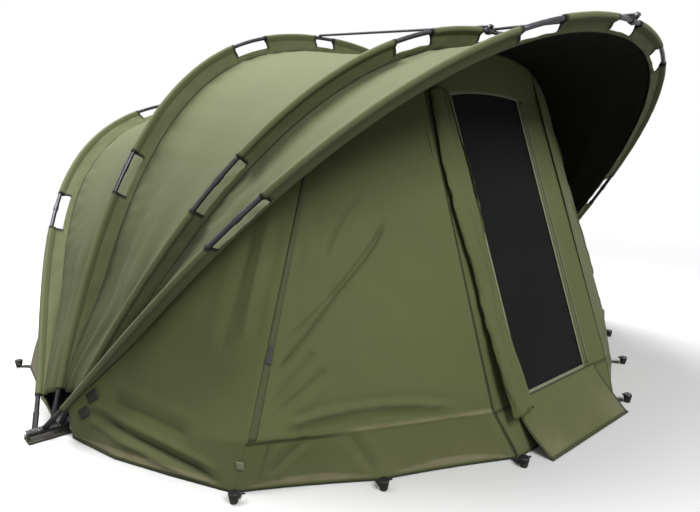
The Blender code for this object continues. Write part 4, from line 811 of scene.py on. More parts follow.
def make_poles(arch):
    low, high = arch.windows[:2]
    joint = (arch.run_at_radius(low) + arch.run_at_radius(high)) / 2.0
    leg = np.linspace(POLE_SEAT, joint - JOINT_GAP, 90)
    crown = np.linspace(joint, arch.span - joint, 260)
    near = np.minimum(crown - joint, arch.span - joint - crown)
    radii = np.where(near < COLLAR_LENGTH, COLLAR_R, POLE_R)
    even = np.full(len(leg), POLE_R)
    for end, node, runs, size in (
        ("left", "leg_left", leg, even),
        ("right", "leg_right", arch.span - leg[::-1], even),
        ("crown", "crown", crown, radii),
    ):
        pole = tube("%s_pole_%s" % (arch.name, end), arch, runs, size)
        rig.ride(pole, arch.name)
        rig.replaces(pole, "%s_%s" % (arch.name, node))
        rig.slot(pole, "pole_metal")


for arch in arches:
    make_poles(arch)
print("poles replaced on", len(arches), "ribs")

# %% [markdown]
# A sleeve is one long strip of canopy cloth folded over its pole and stitched together below it,
# which leaves a fin down to the canopy. Five windows are cut through it so that the pole lies bare
# there, with black binding at both ends of each window. The strip is a grid bent round the pole,
# and the windows are cells left out of it.

# %% Sleeves
SLEEVE_R = 0.0108
SLEEVE_WIDTH = 0.21
SLEEVE_CLOTH = 0.0007
FIN_HALF = 0.0012
BINDING = 0.007
STATION = 0.011


def sleeve_runs(arch):
    """Places along the sleeve, a station apart, with one at each window's edges and bindings."""
    exact = {SLEEVE_START, arch.span - SLEEVE_START}
    for start, end in arch.stretches():
        exact |= {start - BINDING, start, end, end + BINDING}
    exact = sorted(exact)
    runs = []
    for low, high in zip(exact, exact[1:]):
        steps = max(int((high - low) / STATION), 1)
        runs += list(np.linspace(low, high, steps, endpoint=False))
    return np.array(runs + [exact[-1]])


def sleeve_section(depth):
    """Half a cross-section from the fin's tip up to the top of the pole, as (down, sideways)."""
    full = (depth - FIN_START) / (0.060 - FIN_START)
    stitch = 0.0150 + 0.0035 * np.clip(full, 0, 1)
    cut = 0.0180 + 0.0280 * np.clip(full, 0, 1)
    rows = [(depth + (cut - depth) * share, FIN_HALF) for share in (0.0, 0.12, 0.3, 0.5, 0.75)]
    rows += [(cut + (stitch - cut) * share, FIN_HALF) for share in (0.0, 0.3, 0.6, 0.85)]
    rows += [(stitch, FIN_HALF + 0.0004), (stitch - 0.0030, 0.0046)]
    for turn in np.radians((140.0, 122.0, 104.0, 84.0, 62.0, 40.0, 20.0)):
        rows.append((-SLEEVE_R * math.cos(turn), SLEEVE_R * math.sin(turn)))
    return rows


def make_sleeve(arch):
    runs = sleeve_runs(arch)
    depth = arch.depth(runs)
    half = sleeve_section(depth)
    rows = [(down, -side) for down, side in half] + [(-SLEEVE_R, 0.0)] + half[::-1]
    down = np.array([down + 0.0 * depth for down, side in rows])
    side = np.array([side + 0.0 * depth for down, side in rows])
    middle = arch.middle(runs)
    out = arch.outward(runs)
    loose = smooth((down - 0.014) / 0.02) * smooth((depth[None] - down) / 0.02 + 0.15)
    along = np.broadcast_to(runs, down.shape)
    pucker = ripple(along / 0.055, down / 0.05, 10 + arch.number) * 0.0026
    pucker = pucker + ripple(along / 0.17, down / 0.3, 20 + arch.number) * 0.0035
    stretches = arch.stretches()
    for start, end in stretches:
        for edge in (start, end):
            reach = np.abs(along - edge)
            pucker = pucker + 0.0030 * np.exp(-reach / 0.05) * np.cos((along - edge) / 0.012 + down / 0.012)
    side = side + pucker * loose
    squeeze = 1.0 + 0.05 * ripple(along / 0.04, down / 0.02, 30 + arch.number) * (down < 0.012)
    points = middle[None] - out[None] * (down * squeeze)[..., None] + arch.back * (side * squeeze)[..., None]
    cut_row, stitch_row = 5, 9
    last = len(rows) - 1
    holes = np.zeros((last, len(runs) - 1), bool)
    bind = np.zeros(down.shape)
    for start, end in stretches:
        inside = (runs[:-1] > start - 1e-6) & (runs[1:] < end + 1e-6)
        holes[cut_row:last - cut_row, inside] = True
        for low, high in ((start - BINDING, start), (end, end + BINDING)):
            bind[cut_row:last - cut_row + 1, (runs > low - 1e-6) & (runs < high + 1e-6)] = 1.0
    ends = (runs < SLEEVE_START + BINDING) | (runs > arch.span - SLEEVE_START - BINDING)
    bind[:, ends] = 1.0
    seam = np.zeros(down.shape)
    seam[[stitch_row, last - stitch_row]] = 0.55
    seam[[0, 1, last, last - 1]] = 0.75
    # Painted shade: the fin below the pole is darkened, most near the hubs; it goes into the seam mark.
    shade_near_hub = smooth((0.75 - np.minimum(runs, arch.span - runs)) / 0.60)[None]
    under = smooth((down - 0.020) / 0.05)
    seam = np.maximum(seam, 0.62 * shade_near_hub * under)
    marks = {"seam": seam, "bind": bind}
    sleeve = bent_grid(arch.name + "_sleeve_cloth", points, [canopy_cloth], marks, holes)
    thicken(sleeve, SLEEVE_CLOTH)
    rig.ride(sleeve, arch.name)
    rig.replaces(sleeve, arch.name + "_sleeve")
    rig.slot(sleeve, "canopy_cloth")
    area = float(np.mean(depth) * 2 + 0.03) * arch.span
    flat = (SLEEVE_WIDTH, round(arch.span, 2))
    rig.sheet(sleeve, flat=flat, held="stretched", rests_on=[arch.name + "_pole_crown"], area=round(area, 2))
    print(sleeve.name, len(sleeve.data.polygons), "faces, %.2f square metres" % area)


for arch in arches:
    make_sleeve(arch)

# %% [markdown]
# Between two ribs the canopy is one taut panel. It hangs a little below the straight line from rib
# to rib, is puckered where it is sewn to the fins, and has long shallow folds that run from the
# points where the poles pull hardest. A flat-felled seam runs along each edge: a band 12 mm wide
# that stands a little proud, with a dark line of stitching.

# %% Canopy panels between the ribs
CLOTH = 0.0009
SEAM_BAND = 0.014
FRONT_SAG = 0.006
HALF_STATIONS = 11
TENT_HEART = (0.0, 0.0, 0.3)
# How far the cloth rises or sinks: puckers near a seam and further in, broad swells, hanging and
# gathered folds low down, and the fan of folds from each end of a window
SEAM_PUCKER, INNER_PUCKER, BROAD_SWELL = 0.0036, 0.0040, 0.0065
LOW_HANG, LOW_GATHER, WINDOW_FAN = 0.007, 0.012, 0.0032


def crown_share(u):
    """How far up a rib this is, from the hub at 0 to the top at 1, as the frame's panels count it."""
    return np.sin(math.pi / 2.0 * (1.0 + HALF_STATIONS * np.minimum(u, 2.0 - u)) / (HALF_STATIONS + 1.0))


def across_places(width):
    """Shares across a panel, close together at its sewn edges."""
    fine = (0.0, 0.003, 0.004, SEAM_BAND, SEAM_BAND + 0.001, SEAM_BAND + 0.006, 0.0315, 0.045)
    side = [value / width for value in fine]
    inner = list(np.linspace(side[-1], 1.0 - side[-1], 26))[1:-1]
    return np.array(side + inner + [1.0 - value for value in side[::-1]])


def felled(gap):
    """Height of the seam band at a distance from the edge."""
    return 0.0013 * ((gap > 0.0035) & (gap <= SEAM_BAND + 0.0003))


def blend_over(piece, first, second, forward, half_angle):
    """Shares a sheet out between two bodies, across the wedge between their planes."""
    reach = forward * 1.15 * math.sin(half_angle)
    centre = np.array((0.0, 0.0, AXIS_Z))
    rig.blend(piece, first, second, start=tuple(centre - reach), end=tuple(centre + reach))


def make_bay(number, back_arch, front_arch, sag, width):
    u = np.linspace(0.0, 2.0, 300)
    share = across_places(width)[:, None]
    back = back_arch.edge(u, -1)[None]
    front = front_arch.edge(u, 1)[None]
    first = back_arch.outward(back_arch.run_at(u))[None]
    second = front_arch.outward(front_arch.run_at(u))[None]
    normal = unit(lerp(first, second, share[..., None]))
    drawn = 4.0 * share * (1.0 - share) * sag * crown_share(u)[None]
    points = lerp(back, front, share[..., None]) - normal * drawn[..., None]
    local_width = np.linalg.norm(front - back, axis=2)
    gap_back = share * local_width
    gap_front = (1.0 - share) * local_width
    gap = np.minimum(gap_back, gap_front)
    runs = back_arch.run_at(u)[None] + 0.0 * share
    tight = smooth(gap / 0.02)
    pucker = ripple(runs / 0.040, gap * 0.0, 40 + number) * np.exp(-gap / 0.045) * tight * SEAM_PUCKER
    pucker += ripple(runs / 0.085, share * 2.0, 50 + number) * np.exp(-gap / 0.16) * tight * INNER_PUCKER
    broad = ripple(runs / 0.55 + share * 1.4, share * 2.2 + runs * 0.3, 60 + number)
    broad = broad * BROAD_SWELL * smooth(gap / 0.12)
    low = 1.0 - crown_share(u)[None]
    hang = np.cos(share * math.tau * 2.5 + ripple(runs / 0.3, share, 70 + number))
    hang = hang * LOW_HANG * low * smooth(gap / 0.04)
    tight = smooth((low - 0.35) / 0.5) * smooth(gap / 0.02)
    gather = np.sin(share * math.tau * 2.0 + 1.6 * ripple(runs / 0.22, share * 2.0, 75 + number))
    hang = hang + np.abs(gather) * LOW_GATHER * tight
    height = pucker + broad + hang + felled(gap)
    for arch, gaps in ((back_arch, gap_back), (front_arch, gap_front)):
        edge_runs = arch.run_at(u)[None]
        for start, end in arch.stretches():
            for edge, way in ((start, -1.0), (end, 1.0)):
                reach = (edge_runs - edge) * way
                fan = np.exp(-np.abs(reach) / 0.10) * np.exp(-gaps / 0.09) * smooth(gaps / 0.015)
                height = height + WINDOW_FAN * fan * np.cos((reach + gaps * 0.8) / 0.015)
    points = points + normal * height[..., None]
    stitched = (np.abs(gap - 0.0045) < 0.002) | (gap < 0.0015)
    seam = stitched * 0.45 + (np.abs(gap - 0.0150) < 0.0012) * 0.15
    # Painted shade: the lower part of the bay is darkened, most in the channels beside the fins; it goes into the seam
    # mark.
    channel_shade = np.exp(-np.minimum(share, 1.0 - share) / 0.16)
    seam = np.maximum(seam, (0.30 + 0.45 * channel_shade) * smooth((low - 0.15) / 0.75))
    surfaces = [canopy_cloth, lining]
    bay = bent_grid("canopy_panel_%d" % number, points, surfaces, {"seam": seam}, heart=TENT_HEART)
    thicken(bay, CLOTH, lined=True)
    measures = sheet_measures(points)
    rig.replaces(bay, "canopy_bay_%d" % number)
    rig.slot(bay, "canopy_cloth")
    sleeves = [back_arch.name + "_sleeve_cloth", front_arch.name + "_sleeve_cloth"]
    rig.sheet(bay, held="stretched", rests_on=sleeves, **measures)
    half_angle = math.acos(float(back_arch.out @ front_arch.out)) / 2.0
    forward = unit(front_arch.out - back_arch.out)
    blend_over(bay, back_arch.name, front_arch.name, forward, half_angle)
    print(bay.name, len(bay.data.polygons), "faces, %.2f square metres" % measures["area"])


make_bay(1, rear_rib, second_rib, 0.022, 0.95)
make_bay(2, second_rib, third_rib, 0.020, 0.95)
make_bay(3, third_rib, peak_rib, FRONT_SAG, 0.45)

# %% [markdown]
# Behind the rear rib the canopy runs down to the ground and is pegged out at its corners. It hangs
# straight from the rib, so its folds are the long kind that run from the rib down to the pegs.

# %% Rear panel
HEM_Z = 0.003
REAR_HEM = (
    (1, -1.452, 0.090), (3, -1.440, 0.380), (5, -1.355, 0.826), (8, -0.700, 1.3075), (12, 0.0, 1.3535),
)
REAR_HALF_ANGLE = math.radians(24.0)
REAR_LEAN = math.radians(66.0)
REAR_FORWARD = np.array((0.0, -math.cos(REAR_LEAN), math.sin(REAR_LEAN)))
HEM_SCALLOP = 0.012
REAR_FOLD, REAR_SWELL, HEM_PUCKER = 0.005, 0.007, 0.004


def on_path(points, keys, wanted):
    points = np.asarray(points, float)
    return np.stack([np.interp(wanted, keys, points[:, axis]) for axis in range(points.shape[1])], axis=-1)


def make_rear_panel():
    u = np.linspace(0.0, 2.0, 300)
    station = 1.0 + HALF_STATIONS * np.minimum(u, 2.0 - u)
    hem = on_path([(x, y, HEM_Z) for key, x, y in REAR_HEM], [key for key, x, y in REAR_HEM], station)
    scallop = np.abs(np.sin(np.pi * np.interp(station, (1, 5, 8, 12), (0.0, 1.0, 2.0, 2.5))))
    hem[:, :2] *= 1.0 - HEM_SCALLOP * scallop[:, None]
    hem[u > 1.0, 0] *= -1.0
    top = rear_rib.edge(u, 1)
    sewn = (0.972, 0.9745, 0.982, 0.991, 0.993, 1.0)
    share = np.concatenate((np.linspace(0.0, 0.02, 3), np.linspace(0.03, 0.965, 40), sewn))[:, None]
    points = lerp(hem[None], top[None], share[..., None])
    length = np.linalg.norm(top - hem, axis=1)[None]
    down = (1.0 - share) * length
    runs = rear_rib.run_at(u)[None] + 0.0 * share
    low = length - down
    fold = np.cos(np.pi * (station[None] - 12.0) + 0.5 * ripple(runs / 0.4, share * 2, 81))
    fold = fold * REAR_FOLD * np.sin(np.pi * share)
    broad = ripple(runs / 0.42, share * 2.4, 82) * REAR_SWELL * smooth(down / 0.1) * smooth(low / 0.12)
    near_rib = np.exp(-down / 0.05) * smooth(down / 0.02)
    near_hem = np.exp(-low / 0.08) * smooth(low / 0.02)
    pucker = ripple(runs / 0.045, share * 0.0, 83) * near_rib * SEAM_PUCKER
    pucker += ripple(runs / 0.07, share * 1.5, 84) * near_hem * HEM_PUCKER
    height = fold + broad + pucker + felled(down)
    points = points + facing_from(points, (0.0, 0.5, 0.3)) * height[..., None]
    points[..., 2] = np.maximum(points[..., 2], HEM_Z)
    seam = 0.85 * ((np.abs(down - 0.0045) < 0.002) | (down < 0.0015)) + 0.7 * (np.abs(low - 0.012) < 0.004)
    marks = {"seam": seam, "dust": smooth(1.0 - points[..., 2] / 0.16)}
    panel = bent_grid("rear_panel_cloth", points, [canopy_cloth, lining], marks, heart=(0.0, 0.5, 0.0))
    thicken(panel, CLOTH, lined=True)
    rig.replaces(panel, "rear_panel")
    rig.slot(panel, "canopy_cloth")
    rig.sheet(panel, held="stretched", rests_on=["rib_1_sleeve_cloth"], **sheet_measures(points))
    blend_over(panel, "ground_set", "rib_1", REAR_FORWARD, REAR_HALF_ANGLE)


make_rear_panel()
print("rear panel hangs from", rear_rib.name)

# %% [markdown]
# The front is closed by an infill sewn under the narrow panel between the two front ribs, close
# behind the third rib, so that the peak overhangs it. From the left it is a wing beside the hub,
# a zip, a slanting front panel, and in the middle a leaning door. A skirt runs along the ground
# below a seam. All of it is laid out on the same rulings, from the hem up to the seam and from
# there to the canopy.

# %% How the front is laid out
SEAM_Z = 0.165
DOOR_HALF = 0.405
EDGE_SHARE = 0.97
DOOR_SEAM_Y = -1.175
DOOR_LEAN = 0.381 / 1.086
DOOR_OUT = np.array((0.0, -0.944, 0.331))
DOOR_HEM_HALF = 0.355
DOOR_HEM_Y = 1.250


def ground(x, forward):
    x, forward = np.asarray(x, float), np.asarray(forward, float)
    return np.stack((-x, -forward, np.full(x.shape, HEM_Z)), axis=-1)


def door_plane(x, z):
    x, z = np.broadcast_arrays(np.asarray(x, float), np.asarray(z, float))
    return np.stack((x, DOOR_SEAM_Y + DOOR_LEAN * (z - SEAM_Z), z), axis=-1)


def under_canopy(u, share):
    """A point just below the narrow front panel, from the peak rib at 0 to the third rib at 1."""
    u, share = np.broadcast_arrays(np.asarray(u, float), np.asarray(share, float))
    below = 0.0010 + 0.0080 * np.minimum(1.0, np.minimum(share, 1.0 - share) / 0.15)
    share = share[..., None]
    out = unit(lerp(peak_rib.outward(peak_rib.run_at(u)), third_rib.outward(third_rib.run_at(u)), share))
    sag = 4.0 * share * (1.0 - share) * FRONT_SAG
    return lerp(peak_rib.edge(u, 0, below), third_rib.edge(u, 0, below), share) - out * sag


U_ZIP = third_rib.u_at_side(0.798)
U_BAND = third_rib.u_at_side(0.763)
U_DOOR = third_rib.u_at_side(0.400)
CORNER = np.array((-1.152, -0.805, SEAM_Z))
DOOR_SEAM = door_plane(-DOOR_HALF, SEAM_Z)
ZIP_TOP = under_canopy(U_ZIP, EDGE_SHARE)
ZIP_WAY = DOOR_SEAM - CORNER
ZIP_BAND_WIDTH = 0.070
ZIP_BAND = ZIP_BAND_WIDTH / np.linalg.norm(ZIP_WAY)
PANEL_HEM = ((1.192, 0.783), (0.810, 1.030), (0.355, 1.250))
WING_HEM = ((1.440, 0.085), (1.384, 0.333), (1.292, 0.559), (1.192, 0.783))


def panel_edges(share):
    """The left front panel's seam and its top edge, across from the zip to the door."""
    share = np.asarray(share, float)
    seam = lerp(CORNER, DOOR_SEAM, share[..., None])
    seam[..., 1] -= 0.012 * np.sin(np.pi * share)
    u = np.interp(share, (0.0, ZIP_BAND, 1.0), (U_ZIP, U_BAND, U_DOOR))
    return seam, under_canopy(u, EDGE_SHARE)


def wing_edges(share):
    """The left wing's hem, seam and top edge, from the hub to the zip."""
    share = np.asarray(share, float)
    hem = on_path(WING_HEM, (0, 1 / 3, 2 / 3, 1), share)
    hem = ground(hem[..., 0], hem[..., 1])
    top = under_canopy(share * U_ZIP, share * EDGE_SHARE)
    seam_share = (SEAM_Z - HEM_Z) / (ZIP_TOP[2] - HEM_Z)
    seam = lerp(hem, top, seam_share)
    zip_seam = lerp(ground(*WING_HEM[-1]), ZIP_TOP, seam_share)
    seam = seam + (CORNER - zip_seam) * smooth((share - 0.5) / 0.5)[..., None]
    return hem, seam, top


def panel_hem(share):
    hem = on_path(PANEL_HEM, (0, 0.47, 1), share)
    return ground(hem[..., 0], hem[..., 1])


def on_panel(share, height):
    """A point on the left front panel, up from the seam at height 0; below it lies the skirt."""
    seam, top = panel_edges(share)
    return lerp(seam, top, height) if height >= 0.0 else lerp(seam, panel_hem(share), -height)


def on_wing(share, height):
    """A point on the left wing; heights below 0 lie on its skirt."""
    hem, seam, top = wing_edges(share)
    return lerp(seam, top, height) if height >= 0.0 else lerp(seam, hem, -height)


FRONT_SWELL, FRONT_WRINKLE = 0.0055, 0.0020
# Creases: height, width, shade, and where each runs, as shares across and up the panel
PANEL_CREASES = (
    (0.009, 0.0075, 0.52, (
        (0.60, 0.583), (0.513, 0.508), (0.45, 0.467), (0.312, 0.392), (0.175, 0.283), (0.013, 0.142))),
    (0.005, 0.007, 0.24, ((0.575, 0.558), (0.488, 0.508), (0.413, 0.467), (0.288, 0.392), (0.062, 0.267))),
    (0.005, 0.007, 0.22, ((0.45, 0.642), (0.35, 0.617), (0.288, 0.567), (0.25, 0.525), (0.238, 0.483))),
    (-0.008, 0.016, 0.14, ((0.22, 0.23), (0.15, 0.175), (0.088, 0.125), (0.03, 0.075))),
    (-0.008, 0.016, 0.14, ((0.28, 0.175), (0.20, 0.133), (0.138, 0.100), (0.08, 0.06))),
    (0.010, 0.012, 0.55, (
        (0.12, 0.02), (0.25, 0.042), (0.375, 0.05), (0.513, 0.05), (0.65, 0.042), (0.85, 0.017))),
    (-0.007, 0.009, 0.50, ((0.085, -0.02), (0.078, -0.425), (0.075, -0.85))),
    (-0.007, 0.011, 0.34, ((0.225, -0.03), (0.15, -0.375), (0.10, -0.70))),
    (-0.005, 0.014, 0.14, ((0.375, -0.03), (0.425, -0.475), (0.463, -0.825))),
)
WING_CREASES = (
    (-0.017, 0.013, 0.80, (
        (0.06, 0.54), (0.27, 0.062), (0.46, -0.25), (0.62, -0.512), (0.77, -0.688), (0.94, -0.88))),
    (-0.010, 0.020, 0.26, ((0.15, 0.45), (0.36, 0.15), (0.57, 0.038), (0.73, -0.062))),
    (-0.005, 0.010, 0.22, ((0.25, -0.60), (0.41, -0.70), (0.54, -0.725))),
    (0.007, 0.017, 0.08, ((0.85, 0.30), (0.83, 0.488), (0.81, 0.638), (0.80, 0.80))),
    (-0.007, 0.020, 0.12, ((0.74, 0.30), (0.73, 0.575), (0.73, 0.78))),
)


def press_creases(points, creases, place):
    """How far each point stands out for the creases, and how dark the painted shadow along them makes it."""
    height = np.zeros(points.shape[:2])
    shade = np.zeros(points.shape[:2])
    for rise, width, dark, path in creases:
        path = [place(across, up) for across, up in path]
        gap, along = near_path(points, path)
        ends = smooth(along / 0.12) * smooth((1.0 - along) / 0.18)
        beside = 0.35 * np.exp(-((gap - 2.5 * width) / width) ** 2)
        height += rise * ends * (np.exp(-gap / width) - beside)
        shade = np.maximum(shade, dark * ends * np.exp(-(gap / (0.55 * width)) ** 2))
    return height, shade


def both_sides(*vectors):
    """The left side as it is, and its mirror image on the right."""
    for side, sign in (("left", 1.0), ("right", -1.0)):
        yield (side, *(vector * np.array((sign, 1.0, 1.0)) for vector in vectors))


def front_wrinkles(points, seed, size=1.0):
    """Soft uneven cloth: slow swells, and finer wrinkles that slant up towards the zip."""
    x = points[..., 0] * 0.8 + points[..., 2] * 0.35
    z = points[..., 2] - points[..., 0] * 0.25
    height = ripple(x / 0.22 + 7.0, z / 0.30 + 3.0, seed) * FRONT_SWELL
    height += ripple(x / 0.075 + 5.0, z / 0.13 + 9.0, seed + 1) * FRONT_WRINKLE
    return height * size


print("zip from u = %.3f, door from u = %.3f" % (U_ZIP, U_DOOR))

# %% [markdown]
# Wings and front panels come in pairs. One function lays the left one and mirrors it for the right. The rows are laid
# from the hem to the seam and from the seam to the top; the skirt seam is a raised edge with a painted highlight along
# it towards the door, and its stitching beneath gets painted shadow that is darkest towards the zip.

# %% Wings and front panels


def lay_rows(hem, seam, top, low_rows, high_rows):
    low = np.concatenate((np.linspace(0.0, 0.06, 3), np.linspace(0.10, 0.93, low_rows), (0.955, 1.0)))
    high = np.concatenate((np.linspace(0.0, 0.03, 4)[1:], np.linspace(0.04, 0.975, high_rows), (0.985, 1.0)))
    skirt = lerp(hem[None], seam[None], low[:, None, None])
    upper = lerp(seam[None], top[None], high[:, None, None])
    return np.concatenate((skirt, upper)), np.concatenate((low - 1.0, high))


def place_front(piece, node=None, slot="infill_cloth"):
    """The front rides on the peak rib, and flattens against it when the tent is folded."""
    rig.ride(piece, "rib_4")
    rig.squash(piece, "rib_4_fold", axis=tuple(peak_rib.back), anchor=(0.0, 0.0, AXIS_Z), keep=0.27)
    if node:
        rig.replaces(piece, node)
    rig.slot(piece, slot)


def finish_front(node, points, marks):
    for side, laid in both_sides(points):
        name = "%s_%s" % (node, side)
        piece = bent_grid(name + "_cloth", laid, [front_cloth], marks, heart=TENT_HEART)
        thicken(piece, CLOTH)
        place_front(piece, name)
        measures = sheet_measures(points, near_plane=True)
        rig.sheet(piece, held="stretched", rests_on=["rib_4_sleeve_cloth"], **measures)


def hem_tape(points, share, spans):
    """A worn band just above the hem, widest midway between two pegs."""
    above = points[..., 2] - HEM_Z
    middle = np.abs(np.sin(np.pi * spans * share))[None]
    return 0.95 * (above > 0.010) * smooth((0.012 + 0.026 * middle - above) / 0.008)


def make_wings():
    share = np.linspace(0.0, 1.0, 110)
    hem, seam, top = wing_edges(share)
    points, rows = lay_rows(hem, seam, top, 26, 90)
    normal = facing_from(points, (-0.5, 0.0, 0.4))
    height, shade = press_creases(points, WING_CREASES, on_wing)
    height = height + front_wrinkles(points, 91, 0.8)
    edge = smooth((1.0 - rows) / 0.08) * smooth((1.0 + rows) / 0.15)
    sides = smooth((1.0 - share) / 0.06) * smooth(share / 0.05)
    points = points + normal * (height * edge[:, None] * sides[None])[..., None]
    points[..., 2] = np.maximum(points[..., 2], HEM_Z)
    dust = np.maximum(0.12 * smooth(1.0 - points[..., 2] / 0.14), hem_tape(points, share, 1.0))
    sewn = 0.7 * (points[..., 2] < 0.012) + 0.8 * (np.abs(rows[:, None] - 0.985) < 0.009)
    # The seam mark also takes the painted shadow of the creases.
    finish_front("wing", points, {"dust": dust, "seam": np.clip(np.maximum(sewn, shade), 0, 1)})


def make_front_panels():
    share = np.concatenate((np.linspace(0.0, 0.075, 9), np.linspace(0.083, 0.985, 170), (0.99, 1.0)))
    hem = panel_hem(share)
    scallop = np.abs(np.sin(np.pi * np.interp(share, (0, 0.47, 1), (0, 1, 2))))
    hem[:, 1] += scallop * 0.008
    seam, top = panel_edges(share)
    points, rows = lay_rows(hem, seam, top, 20, 150)
    normal = facing(points)
    normal *= np.sign(-normal[..., 1])[..., None]
    height, shade = press_creases(points, PANEL_CREASES, on_panel)
    height = height + front_wrinkles(points, 95)
    shade = shade * smooth((share - 0.06) / 0.03)[None]
    edge = smooth((1.0 - rows) / 0.07) * smooth(np.abs(rows) / 0.035) * smooth((1.0 + rows) / 0.10)
    sides = smooth((1.0 - share) / 0.04) * smooth((share - 0.07) / 0.05)
    height = height * edge[:, None] * sides[None]
    height = height + 0.0022 * np.exp(-((points[..., 2] - SEAM_Z - 0.003) / 0.005) ** 2)
    points = points + normal * height[..., None]
    points[..., 2] = np.maximum(points[..., 2], HEM_Z)
    above = points[..., 2] - SEAM_Z
    # The band just below the skirt seam is dark stitching, with painted shadow added that is darkest towards the zip.
    stitched = (0.12 + 0.63 * smooth((0.42 - share) / 0.18))[None]
    sewn = stitched * ((above > -0.014) & (above < -0.004)) + 0.7 * (points[..., 2] < 0.012)
    sewn = sewn + 0.8 * (np.abs(rows[:, None] - 0.985) < 0.009)
    # The seam mark also takes the painted shadow of the creases.
    sewn = np.maximum(np.maximum(sewn, 0.85 * (share > 0.987)[None]), shade)
    dust = np.maximum(0.12 * smooth(1.0 - points[..., 2] / 0.15), hem_tape(points, share, 2.0))
    # Painted highlight: a pale line along the raised skirt seam towards the door, carried in the dust mark.
    dust = np.maximum(dust, 0.9 * (np.abs(above) < 0.004) * smooth((share - 0.34) / 0.1)[None])
    finish_front("front_panel", points, {"dust": dust, "seam": np.clip(sewn, 0, 1)})


make_wings()
make_front_panels()
print("wings and front panels laid")

# %% [markdown]
# The door is a mesh window with an arched top, set in a surround of cloth. The grid of the surround
# is warped so that one of its rows runs along the arch, and the cells inside are left out. The mesh
# is a separate sheet behind it.

# %% Door surround and mesh
MESH_HALF = 0.220
MESH_SEWN_HALF = 0.231
MESH_LOW_Z = 0.154
MESH_GAP, MESH_SLACK = 0.0024, 0.010
ARCH_LOW_Z = 1.240
ARCH_RISE = 0.016


def arch_z(x):
    return ARCH_LOW_Z + ARCH_RISE * (1.0 - np.clip(np.abs(x) / MESH_HALF, 0.0, 1.0) ** 2.2)


def make_surround():
    edge = np.array((0.0, 0.004, 0.009, 0.014))
    outer = np.linspace(-DOOR_HALF + 0.01, -MESH_HALF - 0.02, 12)
    left = np.concatenate(([-DOOR_HALF, -DOOR_HALF + 0.005], outer, -MESH_HALF - edge[:0:-1], [-MESH_HALF]))
    inner = np.linspace(-MESH_HALF, MESH_HALF, 45)[1:-1]
    x = np.concatenate((left, inner, -left[::-1]))
    half = np.abs(x)
    hem = ground(-x * DOOR_HEM_HALF / DOOR_HALF, np.full_like(x, DOOR_HEM_Y))
    seam = door_plane(x, SEAM_Z)
    brow = door_plane(x, arch_z(x))
    u = U_DOOR + (1.0 - U_DOOR) * (1.0 - half / DOOR_HALF)
    u = np.where(x > 0, 2.0 - u, u)
    top = under_canopy(u, EDGE_SHARE)
    low = np.concatenate((np.linspace(0.0, 0.95, 14), (1.0,)))
    middle = np.concatenate(((0.004, 0.010), np.linspace(0.02, 0.985, 60), (0.993, 1.0)))
    high = np.concatenate(((0.06,), np.linspace(0.12, 1.0, 12)))
    points = np.concatenate((
        lerp(hem[None], seam[None], low[:, None, None]),
        lerp(seam[None], brow[None], middle[:, None, None]),
        lerp(brow[None], top[None], high[:, None, None]),
    ))
    first = len(low) - 1
    last = first + len(middle)
    columns = np.where(half < MESH_HALF + 1e-6)[0]
    holes = np.zeros((len(points) - 1, len(x) - 1), bool)
    holes[first:last, columns[0]:columns[-1]] = True
    reach = np.minimum(DOOR_HALF - half, half - MESH_HALF)[None]
    height = ripple(points[..., 0] / 0.1 + 3.0, points[..., 2] / 0.16, 111) * 0.0040
    height = height * smooth(reach / 0.05) * smooth((points[..., 2] - SEAM_Z) / 0.05)
    skirt = smooth((SEAM_Z - points[..., 2]) / 0.05) * smooth((points[..., 2] - HEM_Z) / 0.04)
    height = height + skirt * ripple(points[..., 0] / 0.07, points[..., 2] / 0.2, 112) * 0.005
    points = points + DOOR_OUT * height[..., None]
    above = points[..., 2] - SEAM_Z
    mark = 0.8 * ((above > -0.014) & (above < -0.004)) + 0.25 * (half > DOOR_HALF - 0.008)[None]
    mark = mark + 0.7 * (points[..., 2] < 0.012)
    marks = {"dust": 0.12 * smooth(1.0 - points[..., 2] / 0.15), "seam": np.clip(mark, 0, 1)}
    piece = bent_grid("door_surround_cloth", points, [front_cloth], marks, holes, heart=(0.0, 0.0, 0.0))
    thicken(piece, CLOTH)
    place_front(piece, "door_surround")
    return piece


def make_mesh():
    x = np.linspace(-MESH_SEWN_HALF, MESH_SEWN_HALF, 50)
    share = np.linspace(0.0, 1.0, 100)[:, None]
    low = door_plane(x, MESH_LOW_Z)
    high = door_plane(x, arch_z(x * MESH_HALF / MESH_SEWN_HALF) + 0.010)
    points = lerp(low[None], high[None], share[..., None])
    slack = np.sin(np.pi * share) ** 0.7 * np.cos(np.pi * x / 0.47)[None]
    wave = ripple(x[None] / 0.12, share * 6.0, 121) * 0.0022 * slack
    points = points - DOOR_OUT * (MESH_GAP + MESH_SLACK * slack + wave)[..., None]
    piece = bent_grid("door_mesh_net", points, [mesh_net], heart=(0.0, 0.0, 0.0))
    thicken(piece, 0.0005)
    place_front(piece, "door_mesh", "mesh_net")
    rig.sheet(piece, held="stretched", rests_on=["door_surround_cloth"], **sheet_measures(points))


surround = make_surround()
make_mesh()
print("door surround and mesh")

# %% [markdown]
# The mesh is edged with pale tape: down both sides, along the bottom and over the arch. Each strip
# of tape is a narrow grid that follows a path on the cloth, slightly crowned across its width.

# %% Tape along a path


def even_path(points, count):
    points = np.asarray(points, float)
    run = np.concatenate(([0.0], np.cumsum(np.linalg.norm(np.diff(points, axis=0), axis=1))))
    return on_path(points, run, np.linspace(0.0, run[-1], count))


